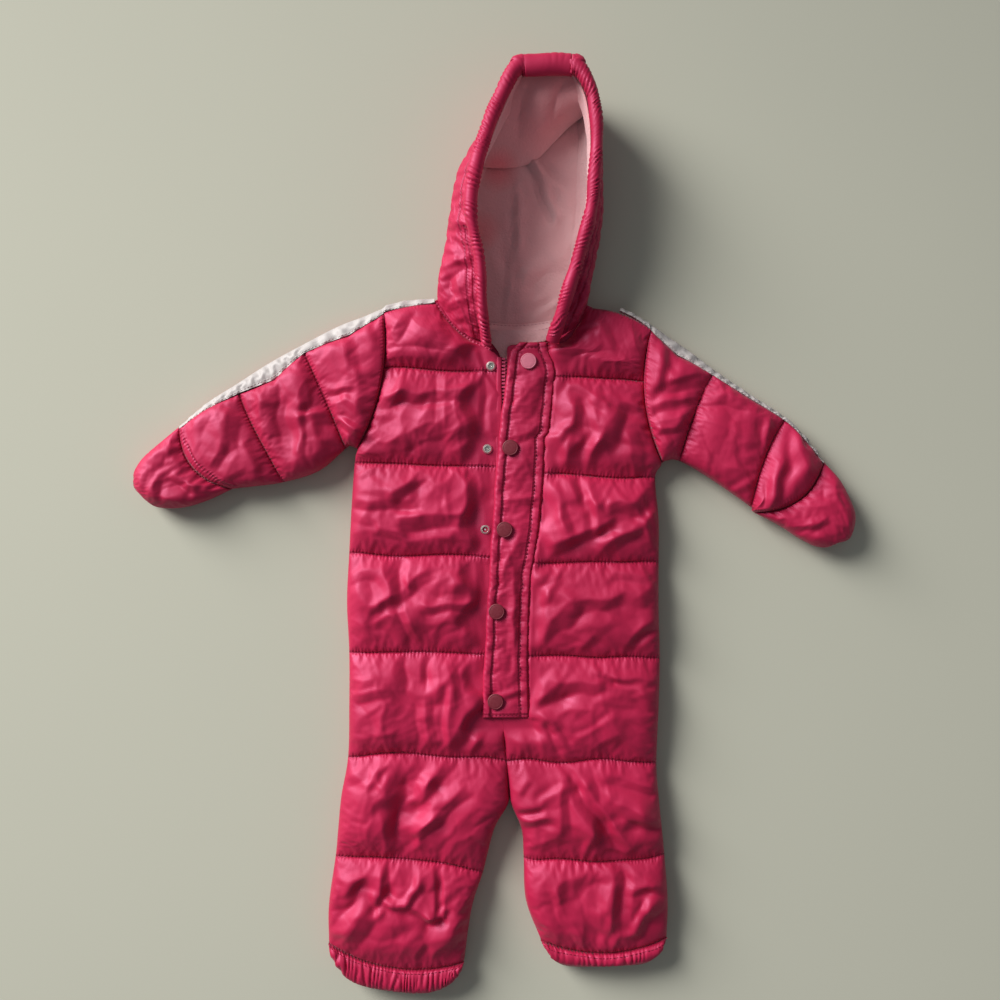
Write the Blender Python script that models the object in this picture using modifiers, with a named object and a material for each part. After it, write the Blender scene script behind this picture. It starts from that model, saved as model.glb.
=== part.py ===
"""Baby snowsuit with a hood, laid flat on its back.

Metres, +Z up, +Y towards the hood. The wearer's right is at -X. The origin is under
the middle of the garment's box, on the surface that it lies on. Tables are in
millimetres. Every panel is a padded wall between an upper and a lower surface.
"""
import math
from collections import namedtuple

import bmesh
import bpy
from mathutils import Vector

MM = 0.001

# Heights of the layers above the surface, in mm.
BACK_TOP = 11.0          # inside of the back, where the front lies on it
LAYER_GAP = 0.4          # between two layers that lie on each other
FRONT_BASE = BACK_TOP + LAYER_GAP
HOLLOW_RISE = 2.6        # the front's inside stands this far clear along its middle
STITCH_WALL = 3.5        # padded wall pressed by a row of stitches
EDGE_WALL = 1.2          # wall at a side seam
EDGE_ROLL = 20.0         # width over which a panel rounds down to its side seam
BACK_ROLL = 18.0
ROLL_COLUMNS = (0.0, 0.12, 0.42, 1.0)   # where a rolled edge has its columns
GROOVE = 2.4             # depth of the back's quilting grooves
PLACKET_TOP = 20.0       # the fronts are pressed to this height under the flap
PRESSED_LEFT = -18.0     # the pressed zone reaches past the flap by these
PRESSED_RIGHT = 13.0
PRESSED_BELOW = 17.0
PLACKET_FADE = 14.0
FLAP_WALL = 3.4
SEAM = 0.35              # half of the gap between two pieces at a seam

# Columns across the panels, and the width in mm that they are spaced for.
TORSO_COLUMNS = 12
TORSO_WIDTH = 135
SLEEVE_COLUMNS = 9
SLEEVE_WIDTH = 90
BACK_COLUMNS = 8

TORSO_PUFF = 14.0
SLEEVE_PUFF = 12.5
MITT_PUFF = 11.0
HEM_PUFF = 9.0
HEM_WAVES = 13
HEM_WAVE_DEPTH = 1.6
HEM_CORNER = 8           # a hem's ends round off over one part in this many
PUFF_SQUARENESS = 2.4    # how flat the top of a stuffed channel is
PUFF_STEEPNESS = 0.62    # how steeply it rises from its stitches
SEAM_WALL = 6.0          # wall at a seam inside the outline
SLEEVE_ROLL = 16.0
ARMHOLE_GAP = 0.9        # the sleeve starts this far out from the armhole line
MITT_GAP = 0.5           # on each side of the seam between sleeve and mitt
LEGS_PART = -250         # below this y the legs' inner edges are outer seams
UNDERARM = 66            # below this y the body's side is an outer seam

# Where the rows of a quilted channel lie, as shares of its length.
CHANNEL_STEPS = (0.0, 0.08, 0.3, 0.7, 0.92)

SLEEVE_STEPS = (0.0, 0.1, 0.3, 0.7, 0.9)
BACK_STEPS = (0.0, 0.08, 0.5, 0.92)
SLEEVE_BACK_STEPS = (0.0, 0.1, 0.5, 0.9)

# Sections across narrow pieces: share across, and wall or share of the full bulge.
BAND_SECTION = ((0.0, 1.2), (0.22, 4.6), (0.6, 6.4), (1.0, 6.8))
HEM_SECTION = ((0.0, 0.0), (0.3, 0.9), (0.75, 0.8), (1.0, 0.0))
FLAP_EDGE = 1.4
FLAP_SECTION = ((0.0, 1.4), (0.06, 2.8), (0.25, 3.4), (0.75, 3.4), (0.94, 2.8), (1.0, 1.4))
FLAP_ROWS = 18

ZIP_ENDS = (155, -132)
ZIP_HALF = 1.8
ZIP_HEIGHTS = (15.0, 19.3)
ZIP_ROWS = 12
BUTTON_SIDES = 10
FACING_COLUMNS = 4
SHARP_ANGLE = 60         # degrees between faces, from which an edge is drawn sharp

HOOD_WALL = 3.6
LINING_WALL = 1.6
RIM_RADIUS = 6.5

Row = namedtuple("Row", "left_x left_y right_x right_y bow stitched left_edge right_edge")

# Armholes: top and bottom of the seam, and how far it bows along +X.
Armhole = namedtuple("Armhole", "top_x top_y bottom_x bottom_y bow")
RIGHT_ARMHOLE = Armhole(-98, 195, -121, 74, 10.0)
LEFT_ARMHOLE = Armhole(139, 180, 149, 62, -11.5)

# The centre front line: y, x, and half of the gap between the fronts.
CENTRE_FRONT = (
    (162, 9.0, 2.3),
    (56, 8.0, 2.3),
    (-60, 6.5, 2.3),
    (-155, 6.0, 2.3),
    (-172, 8.0, 0.35),
    (-203, 11.0, 0.35),
    (-236, 13.5, 0.35),
)

ARM = "arm"              # the point lies on the armhole, at the y given
CENTRE = "centre"        # the point lies on the centre front line, at the y given

# Front panels, a row for each station from the shoulder to the leg's stitched hem.
RIGHT_FRONT = (
    Row(ARM, 195, -52, 203, 1, 1, 6, 5),
    Row(ARM, 181, -41, 187, 0, 0, 6, 6),
    Row(ARM, 169, -23, 171, 0, 0, 6, 6),
    Row(ARM, 157, 2, 157, 0, 0, 6, 6),
    Row(ARM, 146, CENTRE, 142, 0, 1, 6, 7),
    Row(ARM, 114, CENTRE, 115, 0, 0, 6, 7),
    Row(ARM, 76, CENTRE, 84, 0, 0, 6, 7),
    Row(-124, 62, CENTRE, 58, 0, 1, 1.2, 7),
    Row(-127, 22, CENTRE, 20, 0, 0, 1.2, 7),
    Row(-129, -18, CENTRE, -22, 0, 1, 1.2, 7),
    Row(-131, -61, CENTRE, -63, 0, 0, 1.2, 7),
    Row(-129, -106, CENTRE, -106, 0, 1, 1.2, 7),
    Row(-129, -153, CENTRE, -154, 0, 0, 1.2, 7),
    Row(-130, -199, CENTRE, -202, 5, 1, 1.2, 5),
    Row(-136, -234, CENTRE, -236, 3, 0, 1.2, 3),
    Row(-139, -265, 0, -263, 3, 0, 1.2, 1.2),
    Row(-141, -287, -10, -301, 6, 1, 1.2, 1.2),
    Row(-147, -330, -20, -333, -4, 0, 1.2, 1.2),
    Row(-147, -364, -27, -381, -12, 1, 1.2, 1.2),
)
LEFT_FRONT = (
    Row(83, 199, ARM, 180, 4, 1, 5, 6),
    Row(73, 182, ARM, 165, 0, 0, 6, 6),
    Row(58, 167, ARM, 152, 0, 0, 6, 6),
    Row(CENTRE, 164, ARM, 143, 0, 0, 7, 6),
    Row(CENTRE, 140, ARM, 134, 0, 1, 7, 6),
    Row(CENTRE, 113, ARM, 113, 0, 0, 7, 6),
    Row(CENTRE, 91, ARM, 86, 0, 0, 7, 6),
    Row(CENTRE, 72, ARM, 63, 0, 0, 7, 2),
    Row(CENTRE, 52, 143, 49, 0, 1, 7, 1.2),
    Row(CENTRE, 13, 146, 11, 0, 0, 7, 1.2),
    Row(CENTRE, -26, 146, -26, 0, 1, 7, 1.2),
    Row(CENTRE, -67, 146, -69, 0, 0, 7, 1.2),
    Row(CENTRE, -108, 147, -111, 0, 1, 7, 1.2),
    Row(CENTRE, -155, 146, -155, 0, 0, 7, 1.2),
    Row(CENTRE, -202, 144, -204, 2, 1, 5, 1.2),
    Row(CENTRE, -236, 146, -234, -2, 0, 3, 1.2),
    Row(24, -263, 149, -264, -3, 0, 1.2, 1.2),
    Row(26, -288, 151, -285, -4, 1, 1.2, 1.2),
    Row(28, -326, 154, -326, -5, 0, 1.2, 1.2),
    Row(41, -361, 153, -359, -11, 1, 1.2, 1.2),
)

# The hems' lower edges: left, right and how far the edge bows.
RIGHT_HEM_EDGE = Row(-145, -376, -29, -389, -24, 1, 1.2, 1.2)
LEFT_HEM_EDGE = Row(45, -368, 151, -365, -18, 1, 1.2, 1.2)

# Back panels follow the fronts below the armhole; these rows are their neck.
RIGHT_BACK_NECK = (
    Row(ARM, 195, -52, 203, 1, 1, 6, 6),
    Row(ARM, 178, -28, 180, 0, 0, 6, 6),
    Row(ARM, 162, CENTRE, 174, 0, 0, 6, 6),
)
LEFT_BACK_NECK = (
    Row(83, 199, ARM, 180, 4, 1, 6, 6),
    Row(58, 179, ARM, 166, 0, 0, 6, 6),
    Row(CENTRE, 174, ARM, 154, 0, 0, 6, 6),
)

# Sleeves: upper and lower edge of each section, bow, stitched, and the band's width.
SleeveRow = namedtuple("SleeveRow", "top_x top_y bottom_x bottom_y bow stitched band")
RIGHT_SLEEVE = (
    SleeveRow(-98, 195, -121, 74, 10, 1, 1.5),
    SleeveRow(-132, 186, -128, 77, 5, 0, 12),
    SleeveRow(-172, 166, -132, 75, 1, 1, 8),
    SleeveRow(-201, 150, -156, 55, -1, 0, 13),
    SleeveRow(-229, 132, -187, 45, -2, 1, 9),
    SleeveRow(-254, 116, -215, 41, -7, 0, 6),
    SleeveRow(-279, 95, -233, 39, -14, 1, 2.5),
)
LEFT_SLEEVE = (
    SleeveRow(139, 180, 149, 62, -11.5, 1, 1.5),
    SleeveRow(166, 166, 153, 64, -8, 0, 8),
    SleeveRow(196, 144, 164, 64, -3, 1, 9),
    SleeveRow(227, 123, 189, 50, -4, 0, 8),
    SleeveRow(259, 102, 228, 23, -5, 1, 7),
    SleeveRow(276, 85, 229, 20, 4, 0, 7),
    SleeveRow(292, 64, 231, 18, 14, 1, 2.5),
)
RIGHT_MITT = (
    SleeveRow(-279, 95, -233, 39, -14, 1, 0),
    SleeveRow(-297, 80, -257, 28, -10, 0, 0),
    SleeveRow(-310, 68, -279, 22, -6, 0, 0),
    SleeveRow(-318, 57, -299, 23, -3, 0, 0),
    SleeveRow(-320, 49, -313, 33, -2, 1, 0),
)
LEFT_MITT = (
    SleeveRow(292, 64, 231, 18, 14, 1, 0),
    SleeveRow(305, 49, 254, 6, 9, 0, 0),
    SleeveRow(314, 33, 271, -5, 6, 0, 0),
    SleeveRow(320, 16, 289, -13, 3, 0, 0),
    SleeveRow(318, 0, 305, -9, 2, 1, 0),
)

# The bands' first stretch, along the shoulder: outer edge and inner edge.
RIGHT_SHOULDER_BAND = ((-53, 208, -53, 204.8), (-80, 206, -80, 200.8), (-96, 202, -96, 197.2))
LEFT_SHOULDER_BAND = ((100, 203, 99, 199.4), (119, 197, 118, 192.6), (136, 187, 135, 184.3))

# The placket flap: y, left edge and right edge.
FLAP = (
    (168, 22, 48),
    (160, 14.5, 48),
    (142, 11, 47),
    (86, 4, 45),
    (47, 1, 41),
    (3, -2, 39),
    (-59, -6, 35),
    (-112, -9, 32),
    (-163, -11, 31),
)
# Lining at the back of the neck: y, left edge and right edge.
NECK_FACING = ((175.3, -17, 52), (169.8, -4, 45), (167, -1, 12), (161, 3.5, 9.5))

SNAP_CAPS = ((30, 151), (14, 75), (9, 3), (2, -69), (1, -148))
SNAP_SOCKETS = ((-3, 147), (-6, 74), (-8, 3))
CAP_PROFILE = ((0, 2.6), (3.4, 2.4), (6.0, 1.8), (7.0, 0.9), (7.0, 0), (0, 0))
SOCKET_PROFILE = ((0, 0.6), (1.7, 0.6), (2.2, 1.6), (3.5, 1.6), (4.3, 0.8), (4.3, 0), (0, 0))

# The largest creases of the fronts: both ends, depth and half width.
Crease = namedtuple("Crease", "x1 y1 x2 y2 depth half")
CREASES = (
    Crease(-103, 66, -40, 71, 3.0, 9),
    Crease(-30, 100, -24, -20, 2.5, 9),
    Crease(-75, 7, -72, -49, 3.0, 9),
    Crease(-89, -70, -60, -110, 3.0, 9),
    Crease(-61, -112, -58, -184, 3.5, 8),
    Crease(-91, -206, -88, -282, 4.0, 9),
    Crease(-35, -205, -80, -250, 3.0, 9),
    Crease(-48, -296, -46, -370, 3.5, 8),
    Crease(-111, -343, -90, -324, 3.0, 9),
    Crease(45, -214, 110, -290, 4.0, 10),
    Crease(36, -57, 98, -30, 3.0, 9),
    Crease(76, 38, 93, -6, 3.0, 9),
    Crease(62, -94, 128, -70, 3.0, 9),
    Crease(71, -147, 137, -139, 3.0, 9),
    Crease(84, -306, 95, -352, 3.0, 9),
    Crease(93, 120, 84, 70, 2.5, 9),
    Crease(-185, 98, -170, 66, 3.0, 8),
    Crease(-238, 88, -224, 58, 3.0, 8),
    Crease(181, 96, 217, 84, 3.0, 8),
    Crease(252, 76, 243, 34, 3.0, 8),
)

# The hood, a section for each row from the neck to the crown.
HoodRow = namedtuple(
    "HoodRow",
    "rim_l_x rim_l_y rim_r_x rim_r_y rim_z side_l_x side_l_y side_r_x side_r_y side_z"
    " back_y back_z cheek",
)
HOOD = (
    HoodRow(-5, 164, 51, 169, 21, -50, 206, 82, 203, 11.5, 176.5, 0, 4.0),
    HoodRow(-9, 197, 59, 195, 36, -49, 225, 83, 217, 19, 206, 0, 6.0),
    HoodRow(-11, 236, 71, 236, 43, -43, 254, 88, 248, 19, 242, 0, 7.0),
    HoodRow(-19, 271, 81, 272, 50, -38, 283, 93, 279, 21, 278, 0, 5.0),
    HoodRow(-16, 310, 85, 310, 53, -31, 318, 93, 313, 22, 313, 0, 4.0),
    HoodRow(-5, 345, 86, 344, 53, -13, 350, 92, 345, 22, 346, 0, 3.0),
    HoodRow(6, 373, 83, 371, 51, 3, 376, 87, 373, 23, 373, 0, 2.0),
    HoodRow(13, 388, 78, 386, 50, 11, 391, 81, 388, 28, 389, 3, 1.0),
    HoodRow(19, 397.5, 72, 396.5, 49, 20, 400.5, 73, 398.5, 38, 401, 24, 0.0),
    HoodRow(25, 401.5, 66, 401.5, 48, 31, 404, 60, 404, 48, 405, 48, 0.0),
)
SIDE_FLOOR_SHARE = 0.30
SIDE_BACK_SHARE = 0.7

# Where the hood's points lie, as fractional rows of its sections and of their points.
HOOD_STEPS = (0, 0.5, 1, 2, 3, 4, 5, 6, 7, 7.5, 8, 8.5, 9)
HOOD_SIDE_STEPS = (0, 0.6, 1.2, 1.7, 2.1, 2.5, 2.9)
HOOD_CENTRE_STEPS = (2.9, 3.4, 4, 4.6, 5.1)
NECK_STRIP_STEPS = (0.0, 0.15, 0.34)
STRIP_WALL = 1.6
CROWN_INSIDE = 8.7
NECK_THIN = 0.55         # share of the hood's walls that is left at the neck seam
RIM_INSIDE = 0.5
HOOD_SEAM = 0.014        # half of the gap between two panels, in points of a section

# The rim's casings, as fractional points of its line: right side, top, left side.
RIM_JOINTS = (9, 10)
RIM_ENDS = (0.12, 18.88)
RIM_BEND = 1.5           # the bend beside a joint, in points
RIM_TOP_BEND = 0.3       # the same in the top casing
RIM_STRAIGHT = 4.0       # each casing runs straight for this far at a joint
RIM_GATHERS = 0.4        # share of the right casing that its elastic gathers
RIM_PINCH = 0.86         # share of the casing's radius that is left in a gather
RIM_RUNS = (24, 3, 18)   # steps along the right, top and left casing


def smooth_at(points, position):
    """A point on the smooth curve through a list of tuples, at a fractional index."""
    last = len(points) - 1
    index = min(int(position), last - 1)
    share = position - index
    before = points[max(index - 1, 0)]
    start = points[index]
    end = points[index + 1]
    after = points[min(index + 2, last)]
    result = []
    for a, b, c, d in zip(before, start, end, after):
        slope_b = (c - a) / 2
        slope_c = (d - b) / 2
        if index == 0:
            slope_b = c - b
        if index == last - 1:
            slope_c = c - b
        cube = share ** 3
        square = share ** 2
        result.append(
            (2 * cube - 3 * square + 1) * b
            + (cube - 2 * square + share) * slope_b
            + (3 * square - 2 * cube) * c
            + (cube - square) * slope_c
        )
    return result


def linear_at(points, position):
    """A point on the straight runs through a list of tuples, at a fractional index."""
    index = min(int(position), len(points) - 2)
    share = position - index
    return [b + (c - b) * share for b, c in zip(points[index], points[index + 1])]


def table_at(table, key):
    """Values of a table whose first column falls from row to row, at a key."""
    for upper, lower in zip(table, table[1:]):
        if key >= lower[0]:
            share = min(max((upper[0] - key) / (upper[0] - lower[0]), 0), 1)
            return [a + (b - a) * share for a, b in zip(upper[1:], lower[1:])]
    return list(table[-1][1:])


def quarter_round(share):
    """Height of a quarter circle: 0 at an edge, 1 from one radius inwards."""
    inside = 1 - min(max(share, 0), 1)
    return math.sqrt(1 - inside * inside)


def ease(share):
    """A smooth step from 0 to 1."""
    share = min(max(share, 0), 1)
    return share * share * (3 - 2 * share)


def puff_shape(share):
    """Height of a stuffed channel across its width: 0 at both rows of stitches."""
    off = abs(2 * share - 1)
    return (1 - off ** PUFF_SQUARENESS) ** PUFF_STEEPNESS


def armhole_x(armhole, y):
    """The armhole seam's x at a height y."""
    chord = Vector((armhole.bottom_x - armhole.top_x, armhole.bottom_y - armhole.top_y))
    normal = Vector((-chord.y, chord.x)).normalized()
    share = 0.0
    for _step in range(6):
        bulge = armhole.bow * 4 * share * (1 - share)
        share = (y - armhole.top_y - normal.y * bulge) / chord.y
    return armhole.top_x + chord.x * share + normal.x * armhole.bow * 4 * share * (1 - share)


def centre_x(y, side):
    """Edge of a front at the centre line: side is -1 for the wearer's right."""
    x, half_gap = table_at(CENTRE_FRONT, y)
    return x + side * half_gap


class Panel:
    """A quilted panel: sections across it, and channels between its stitched rows.

    lines gives x as a function of y for the ends that a row only names, and starts
    gives, for each row, the share across it at which the panel begins. Where the first
    channel is a neck, it has a station at each row and each half row.
    """

    def __init__(self, rows, steps, lines=None, starts=None, neck=False):
        self.lines = lines or {}
        self.marks = [(row.left_x, row.right_x) for row in rows]
        self.rows = [self.solve(row) for row in rows]
        self.starts = starts or [0.0] * len(rows)
        self.stations = []
        stitched = [index for index, row in enumerate(rows) if row.stitched]
        for first, last in zip(stitched, stitched[1:]):
            for share in self.neck_shares(last) if first == 0 and neck else steps:
                self.stations.append((self.place(first, last, share), share))
        self.stations.append((float(stitched[-1]), 1.0))

    def solve(self, row):
        """A row with its named ends filled in."""
        left_x = self.lines[row.left_x](row.left_y) if row.left_x in self.lines else row.left_x
        right_x = self.lines[row.right_x](row.right_y) if row.right_x in self.lines else row.right_x
        return row._replace(left_x=left_x, right_x=right_x)

    def middle(self, index):
        row = self.rows[index]
        return Vector(((row.left_x + row.right_x) / 2, (row.left_y + row.right_y) / 2))

    def neck_shares(self, last):
        """Shares of the first channel's length at each row and each half row."""
        lengths = [0.0]
        for index in range(last):
            lengths.append(lengths[-1] + (self.middle(index + 1) - self.middle(index)).length)
        shares = []
        for index in range(last):
            shares.append(lengths[index] / lengths[-1])
            shares.append((lengths[index] + lengths[index + 1]) / 2 / lengths[-1])
        return shares

    def place(self, first, last, share):
        """Fractional row at a share of a channel's length."""
        lengths = [0.0]
        for index in range(first, last):
            lengths.append(lengths[-1] + (self.middle(index + 1) - self.middle(index)).length)
        target = share * lengths[-1]
        for index in range(first, last):
            near = lengths[index - first]
            far = lengths[index - first + 1]
            if target <= far:
                return index + (target - near) / (far - near)
        return float(last)

    def ends(self, position):
        """Left end, right end and bow at a fractional row."""
        outline = [(r.left_x, r.left_y, r.right_x, r.right_y, r.bow) for r in self.rows]
        x1, y1, x2, y2, bow = smooth_at(outline, position)
        index = min(int(position), len(self.rows) - 2)
        (left_mark, right_mark), (next_left, next_right) = self.marks[index:index + 2]
        if left_mark == next_left and left_mark in self.lines:
            x1 = self.lines[left_mark](y1)
        if right_mark == next_right and right_mark in self.lines:
            x2 = self.lines[right_mark](y2)
        return Vector((x1, y1)), Vector((x2, y2)), bow

    def edges(self, position):
        """Wall at the left and right edge of a fractional row."""
        return linear_at([(r.left_edge, r.right_edge) for r in self.rows], position)

    def width(self, position):
        left, right, _bow = self.ends(position)
        start = linear_at([(value,) for value in self.starts], position)[0]
        return (right - left).length * (1 - start)

    def at(self, u, position):
        """Plan point at a share across and a fractional row."""
        left, right, bow = self.ends(position)
        start = linear_at([(value,) for value in self.starts], position)[0]
        share = start + (1 - start) * u
        chord = right - left
        normal = Vector((-chord.y, chord.x)).normalized()
        return left + chord * share + normal * (bow * 4 * share * (1 - share))


def column_shares(width, columns, margin):
    """Shares across a panel, closer together in the rolled edges."""
    near = [share * margin / width for share in ROLL_COLUMNS]
    inner = columns - 2 * (len(near) - 1)
    shares = list(near)
    for index in range(1, inner):
        shares.append(near[-1] + (1 - 2 * near[-1]) * index / inner)
    shares.extend(1 - value for value in reversed(near))
    return shares


def make_material(name, colour, roughness, metallic=0.0):
    material = bpy.data.materials.new(name)
    material.use_nodes = True
    shader = material.node_tree.nodes["Principled BSDF"]
    shader.inputs["Base Color"].default_value = (*colour, 1.0)
    shader.inputs["Roughness"].default_value = roughness
    shader.inputs["Metallic"].default_value = metallic
    return material


def add_object(name, mesh, material):
    mesh.materials.append(material)
    part = bpy.data.objects.new(name, mesh)
    COLLECTION.objects.link(part)
    return part


def make_wall(name, material, columns, rows, upper, lower):
    """A closed wall: upper and lower give the points of its two sides, in mm."""
    bm = bmesh.new()
    bmesh.ops.create_grid(bm, x_segments=columns, y_segments=rows, size=0.5)
    bmesh.ops.triangulate(bm, faces=list(bm.faces), quad_method="FIXED")
    under = list(bm.verts)
    extruded = bmesh.ops.extrude_face_region(bm, geom=list(bm.faces))
    over = [item for item in extruded["geom"] if isinstance(item, bmesh.types.BMVert)]
    for verts, surface in ((under, lower), (over, upper)):
        for vert in verts:
            column = round((vert.co.x + 0.5) * columns)
            row = round((vert.co.y + 0.5) * rows)
            vert.co = Vector(surface(column, row)) * MM
    if bm.calc_volume(signed=True) < 0:
        bmesh.ops.reverse_faces(bm, faces=bm.faces)
    mesh = bpy.data.meshes.new(name)
    bm.to_mesh(mesh)
    bm.free()
    mesh.shade_smooth()
    mesh.set_sharp_from_angle(angle=math.radians(SHARP_ANGLE))
    return add_object(name, mesh, material)


def crease_depth(x, y):
    """How far the creases press the cloth down at a point."""
    depth = 0.0
    for crease in CREASES:
        start = Vector((crease.x1, crease.y1))
        run = Vector((crease.x2, crease.y2)) - start
        share = (Vector((x, y)) - start).dot(run) / run.length_squared
        near = start + run * min(max(share, 0), 1)
        off = (Vector((x, y)) - near).length / crease.half
        depth = max(depth, crease.depth * math.exp(-off * off))
    return depth


def placket_share(x, y):
    """1 where the fronts are pressed under and beside the flap, falling to 0 around it."""
    _left, right = table_at(FLAP, y)
    below = ease((FLAP[-1][0] - PRESSED_BELOW - y) / PLACKET_FADE)
    left_out = ease((PRESSED_LEFT - x) / PLACKET_FADE)
    right_out = ease((x - right - PRESSED_RIGHT) / PLACKET_FADE)
    return (1 - left_out) * (1 - right_out) * (1 - below)


def edge_wall(full, edges, u, width, roll):
    """A wall that falls from its full thickness to each edge's own in a quarter round."""
    walls = []
    for edge, off in zip(edges, (u * width, (1 - u) * width)):
        thin = min(edge, full)
        walls.append(thin + (full - thin) * quarter_round(off / roll))
    return min(walls)


def front_inside(u):
    """Inner height of a front panel, plain from edge to edge."""
    return FRONT_BASE + HOLLOW_RISE * math.sin(math.pi * u)


def front_height(panel, u, position, share, puff, roll, placket):
    """Outer height of a front panel above the surface."""
    spot = panel.at(u, position)
    full = STITCH_WALL + (puff - crease_depth(spot.x, spot.y)) * puff_shape(share)
    wall = edge_wall(full, panel.edges(position), u, panel.width(position), roll)
    height = front_inside(u) + wall
    if placket:
        height += (PLACKET_TOP - height) * placket_share(spot.x, spot.y)
    return height


def make_front(name, panel, columns, width, puff, roll, placket=False):
    """A front panel: puffed outside between its rows of stitches, plain inside."""
    shares = column_shares(width, columns, roll)

    def upper(column, row):
        position, share = panel.stations[row]
        spot = panel.at(shares[column], position)
        height = front_height(panel, shares[column], position, share, puff, roll, placket)
        return spot.x, spot.y, height

    def lower(column, row):
        spot = panel.at(shares[column], panel.stations[row][0])
        return spot.x, spot.y, front_inside(shares[column])

    return make_wall(name, SHELL, columns, len(panel.stations) - 1, upper, lower)


def make_back(name, panel, columns, width, roll):
    """A back panel: flat under, rounded up to its outer seams, grooved at its stitches."""
    shares = column_shares(width, columns, roll)

    def upper(column, row):
        spot = panel.at(shares[column], panel.stations[row][0])
        return spot.x, spot.y, BACK_TOP

    def lower(column, row):
        position, share = panel.stations[row]
        u = shares[column]
        spot = panel.at(u, position)
        wall = edge_wall(BACK_TOP, panel.edges(position), u, panel.width(position), roll)
        if share in (0.0, 1.0):
            wall = max(wall - GROOVE, EDGE_WALL)
        return spot.x, spot.y, BACK_TOP - wall

    return make_wall(name, SHELL, columns, len(panel.stations) - 1, upper, lower)


def sleeve_rows(table, side, top_edge, first_shift, last_shift):
    """Sleeve sections as panel rows; the shifts move its two end seams outwards."""
    rows = []
    for index, row in enumerate(table):
        chord = Vector((row.bottom_x - row.top_x, row.bottom_y - row.top_y))
        outward = Vector((-chord.y, chord.x)).normalized() * side
        shift = first_shift if index == 0 else last_shift if index == len(table) - 1 else 0.0
        top = Vector((row.top_x, row.top_y)) + outward * shift
        bottom = Vector((row.bottom_x, row.bottom_y)) + outward * shift
        rows.append(Row(top.x, top.y, bottom.x, bottom.y, row.bow, row.stitched, top_edge, EDGE_WALL))
    return rows


def band_shares(table, gap):
    """Share across each section that the light band takes, with a gap past it."""
    shares = []
    for row in table:
        length = math.hypot(row.bottom_x - row.top_x, row.bottom_y - row.top_y)
        shares.append((row.band + gap) / length)
    return shares


def make_sleeve(name, side, table, mitt_table, shoulder):
    """Front, back, band and mitt of one sleeve; side is -1 for the wearer's right."""
    full_rows = sleeve_rows(table, side, EDGE_WALL, ARMHOLE_GAP, -MITT_GAP)
    front_rows = sleeve_rows(table, side, SEAM_WALL, ARMHOLE_GAP, -MITT_GAP)
    front = Panel(front_rows, SLEEVE_STEPS, starts=band_shares(table, 2 * SEAM))
    back = Panel(full_rows, SLEEVE_BACK_STEPS)
    make_front(name + "_sleeve_front", front, SLEEVE_COLUMNS, SLEEVE_WIDTH, SLEEVE_PUFF, SLEEVE_ROLL)
    make_back(name + "_sleeve_back", back, BACK_COLUMNS, SLEEVE_WIDTH, SLEEVE_ROLL)
    make_band(name + "_band", Panel(full_rows, SLEEVE_STEPS, starts=band_shares(table, 0)), shoulder)
    mitt = Panel(sleeve_rows(mitt_table, side, EDGE_WALL, MITT_GAP, 0), SLEEVE_STEPS)
    make_front(name + "_mitt_front", mitt, SLEEVE_COLUMNS, SLEEVE_WIDTH, MITT_PUFF, SLEEVE_ROLL)
    make_back(name + "_mitt_back", mitt, BACK_COLUMNS, SLEEVE_WIDTH, SLEEVE_ROLL)


def make_band(name, panel, shoulder):
    """The light strip along the shoulder and the top of the sleeve."""
    rows = list(shoulder)
    for position, _share in panel.stations[1:]:
        outer = panel.ends(position)[0]
        inner = panel.at(0, position)
        rows.append((outer.x, outer.y, inner.x, inner.y))

    def spot(column, row):
        outer_x, outer_y, inner_x, inner_y = rows[row]
        share = BAND_SECTION[column][0]
        return outer_x + (inner_x - outer_x) * share, outer_y + (inner_y - outer_y) * share

    def upper(column, row):
        return (*spot(column, row), FRONT_BASE + BAND_SECTION[column][1])

    def lower(column, row):
        return (*spot(column, row), FRONT_BASE)

    make_wall(name, BAND, len(BAND_SECTION) - 1, len(rows) - 1, upper, lower)


def make_hem(name, top_row, edge_row, over):
    """A gathered casing: waves of the elastic run across it."""
    columns = 2 * HEM_WAVES
    panel = Panel((top_row, edge_row), (0.0,))

    def spot(column, row):
        place = panel.at(column / columns, HEM_SECTION[row][0])
        drop = -2 * SEAM if row == 0 else 0.0
        return place.x, place.y + drop

    def wall(column, row, full):
        share, bulge = HEM_SECTION[row]
        u = column / columns
        edge = min(quarter_round(u * HEM_CORNER), quarter_round((1 - u) * HEM_CORNER))
        thin = EDGE_WALL + (STITCH_WALL - EDGE_WALL) * (1 - share)
        wave = HEM_WAVE_DEPTH * (column % 2) * edge * min(bulge, 1.0)
        return max(thin + (full - thin) * bulge * edge - wave, EDGE_WALL)

    def over_upper(column, row):
        return (*spot(column, row), front_inside(column / columns) + wall(column, row, HEM_PUFF))

    def over_lower(column, row):
        return (*spot(column, row), front_inside(column / columns))

    def under_upper(column, row):
        return (*spot(column, row), BACK_TOP)

    def under_lower(column, row):
        return (*spot(column, row), BACK_TOP - wall(column, row, BACK_TOP))

    sides = (over_upper, over_lower) if over else (under_upper, under_lower)
    make_wall(name, SHELL, columns, len(HEM_SECTION) - 1, *sides)


def make_flap():
    """The placket flap, made from the fronts' pressed surface, moved out."""
    top = FLAP[0][0]
    bottom = FLAP[-1][0]

    def spot(column, row):
        y = top + (bottom - top) * row / FLAP_ROWS
        left, right = table_at(FLAP, y)
        return left + (right - left) * FLAP_SECTION[column][0], y

    def upper(column, row):
        wall = FLAP_SECTION[column][1] if 0 < row < FLAP_ROWS else FLAP_EDGE
        return (*spot(column, row), PLACKET_TOP + LAYER_GAP + wall)

    def lower(column, row):
        return (*spot(column, row), PLACKET_TOP + LAYER_GAP)

    make_wall("placket_flap", SHELL, len(FLAP_SECTION) - 1, FLAP_ROWS, upper, lower)


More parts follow.
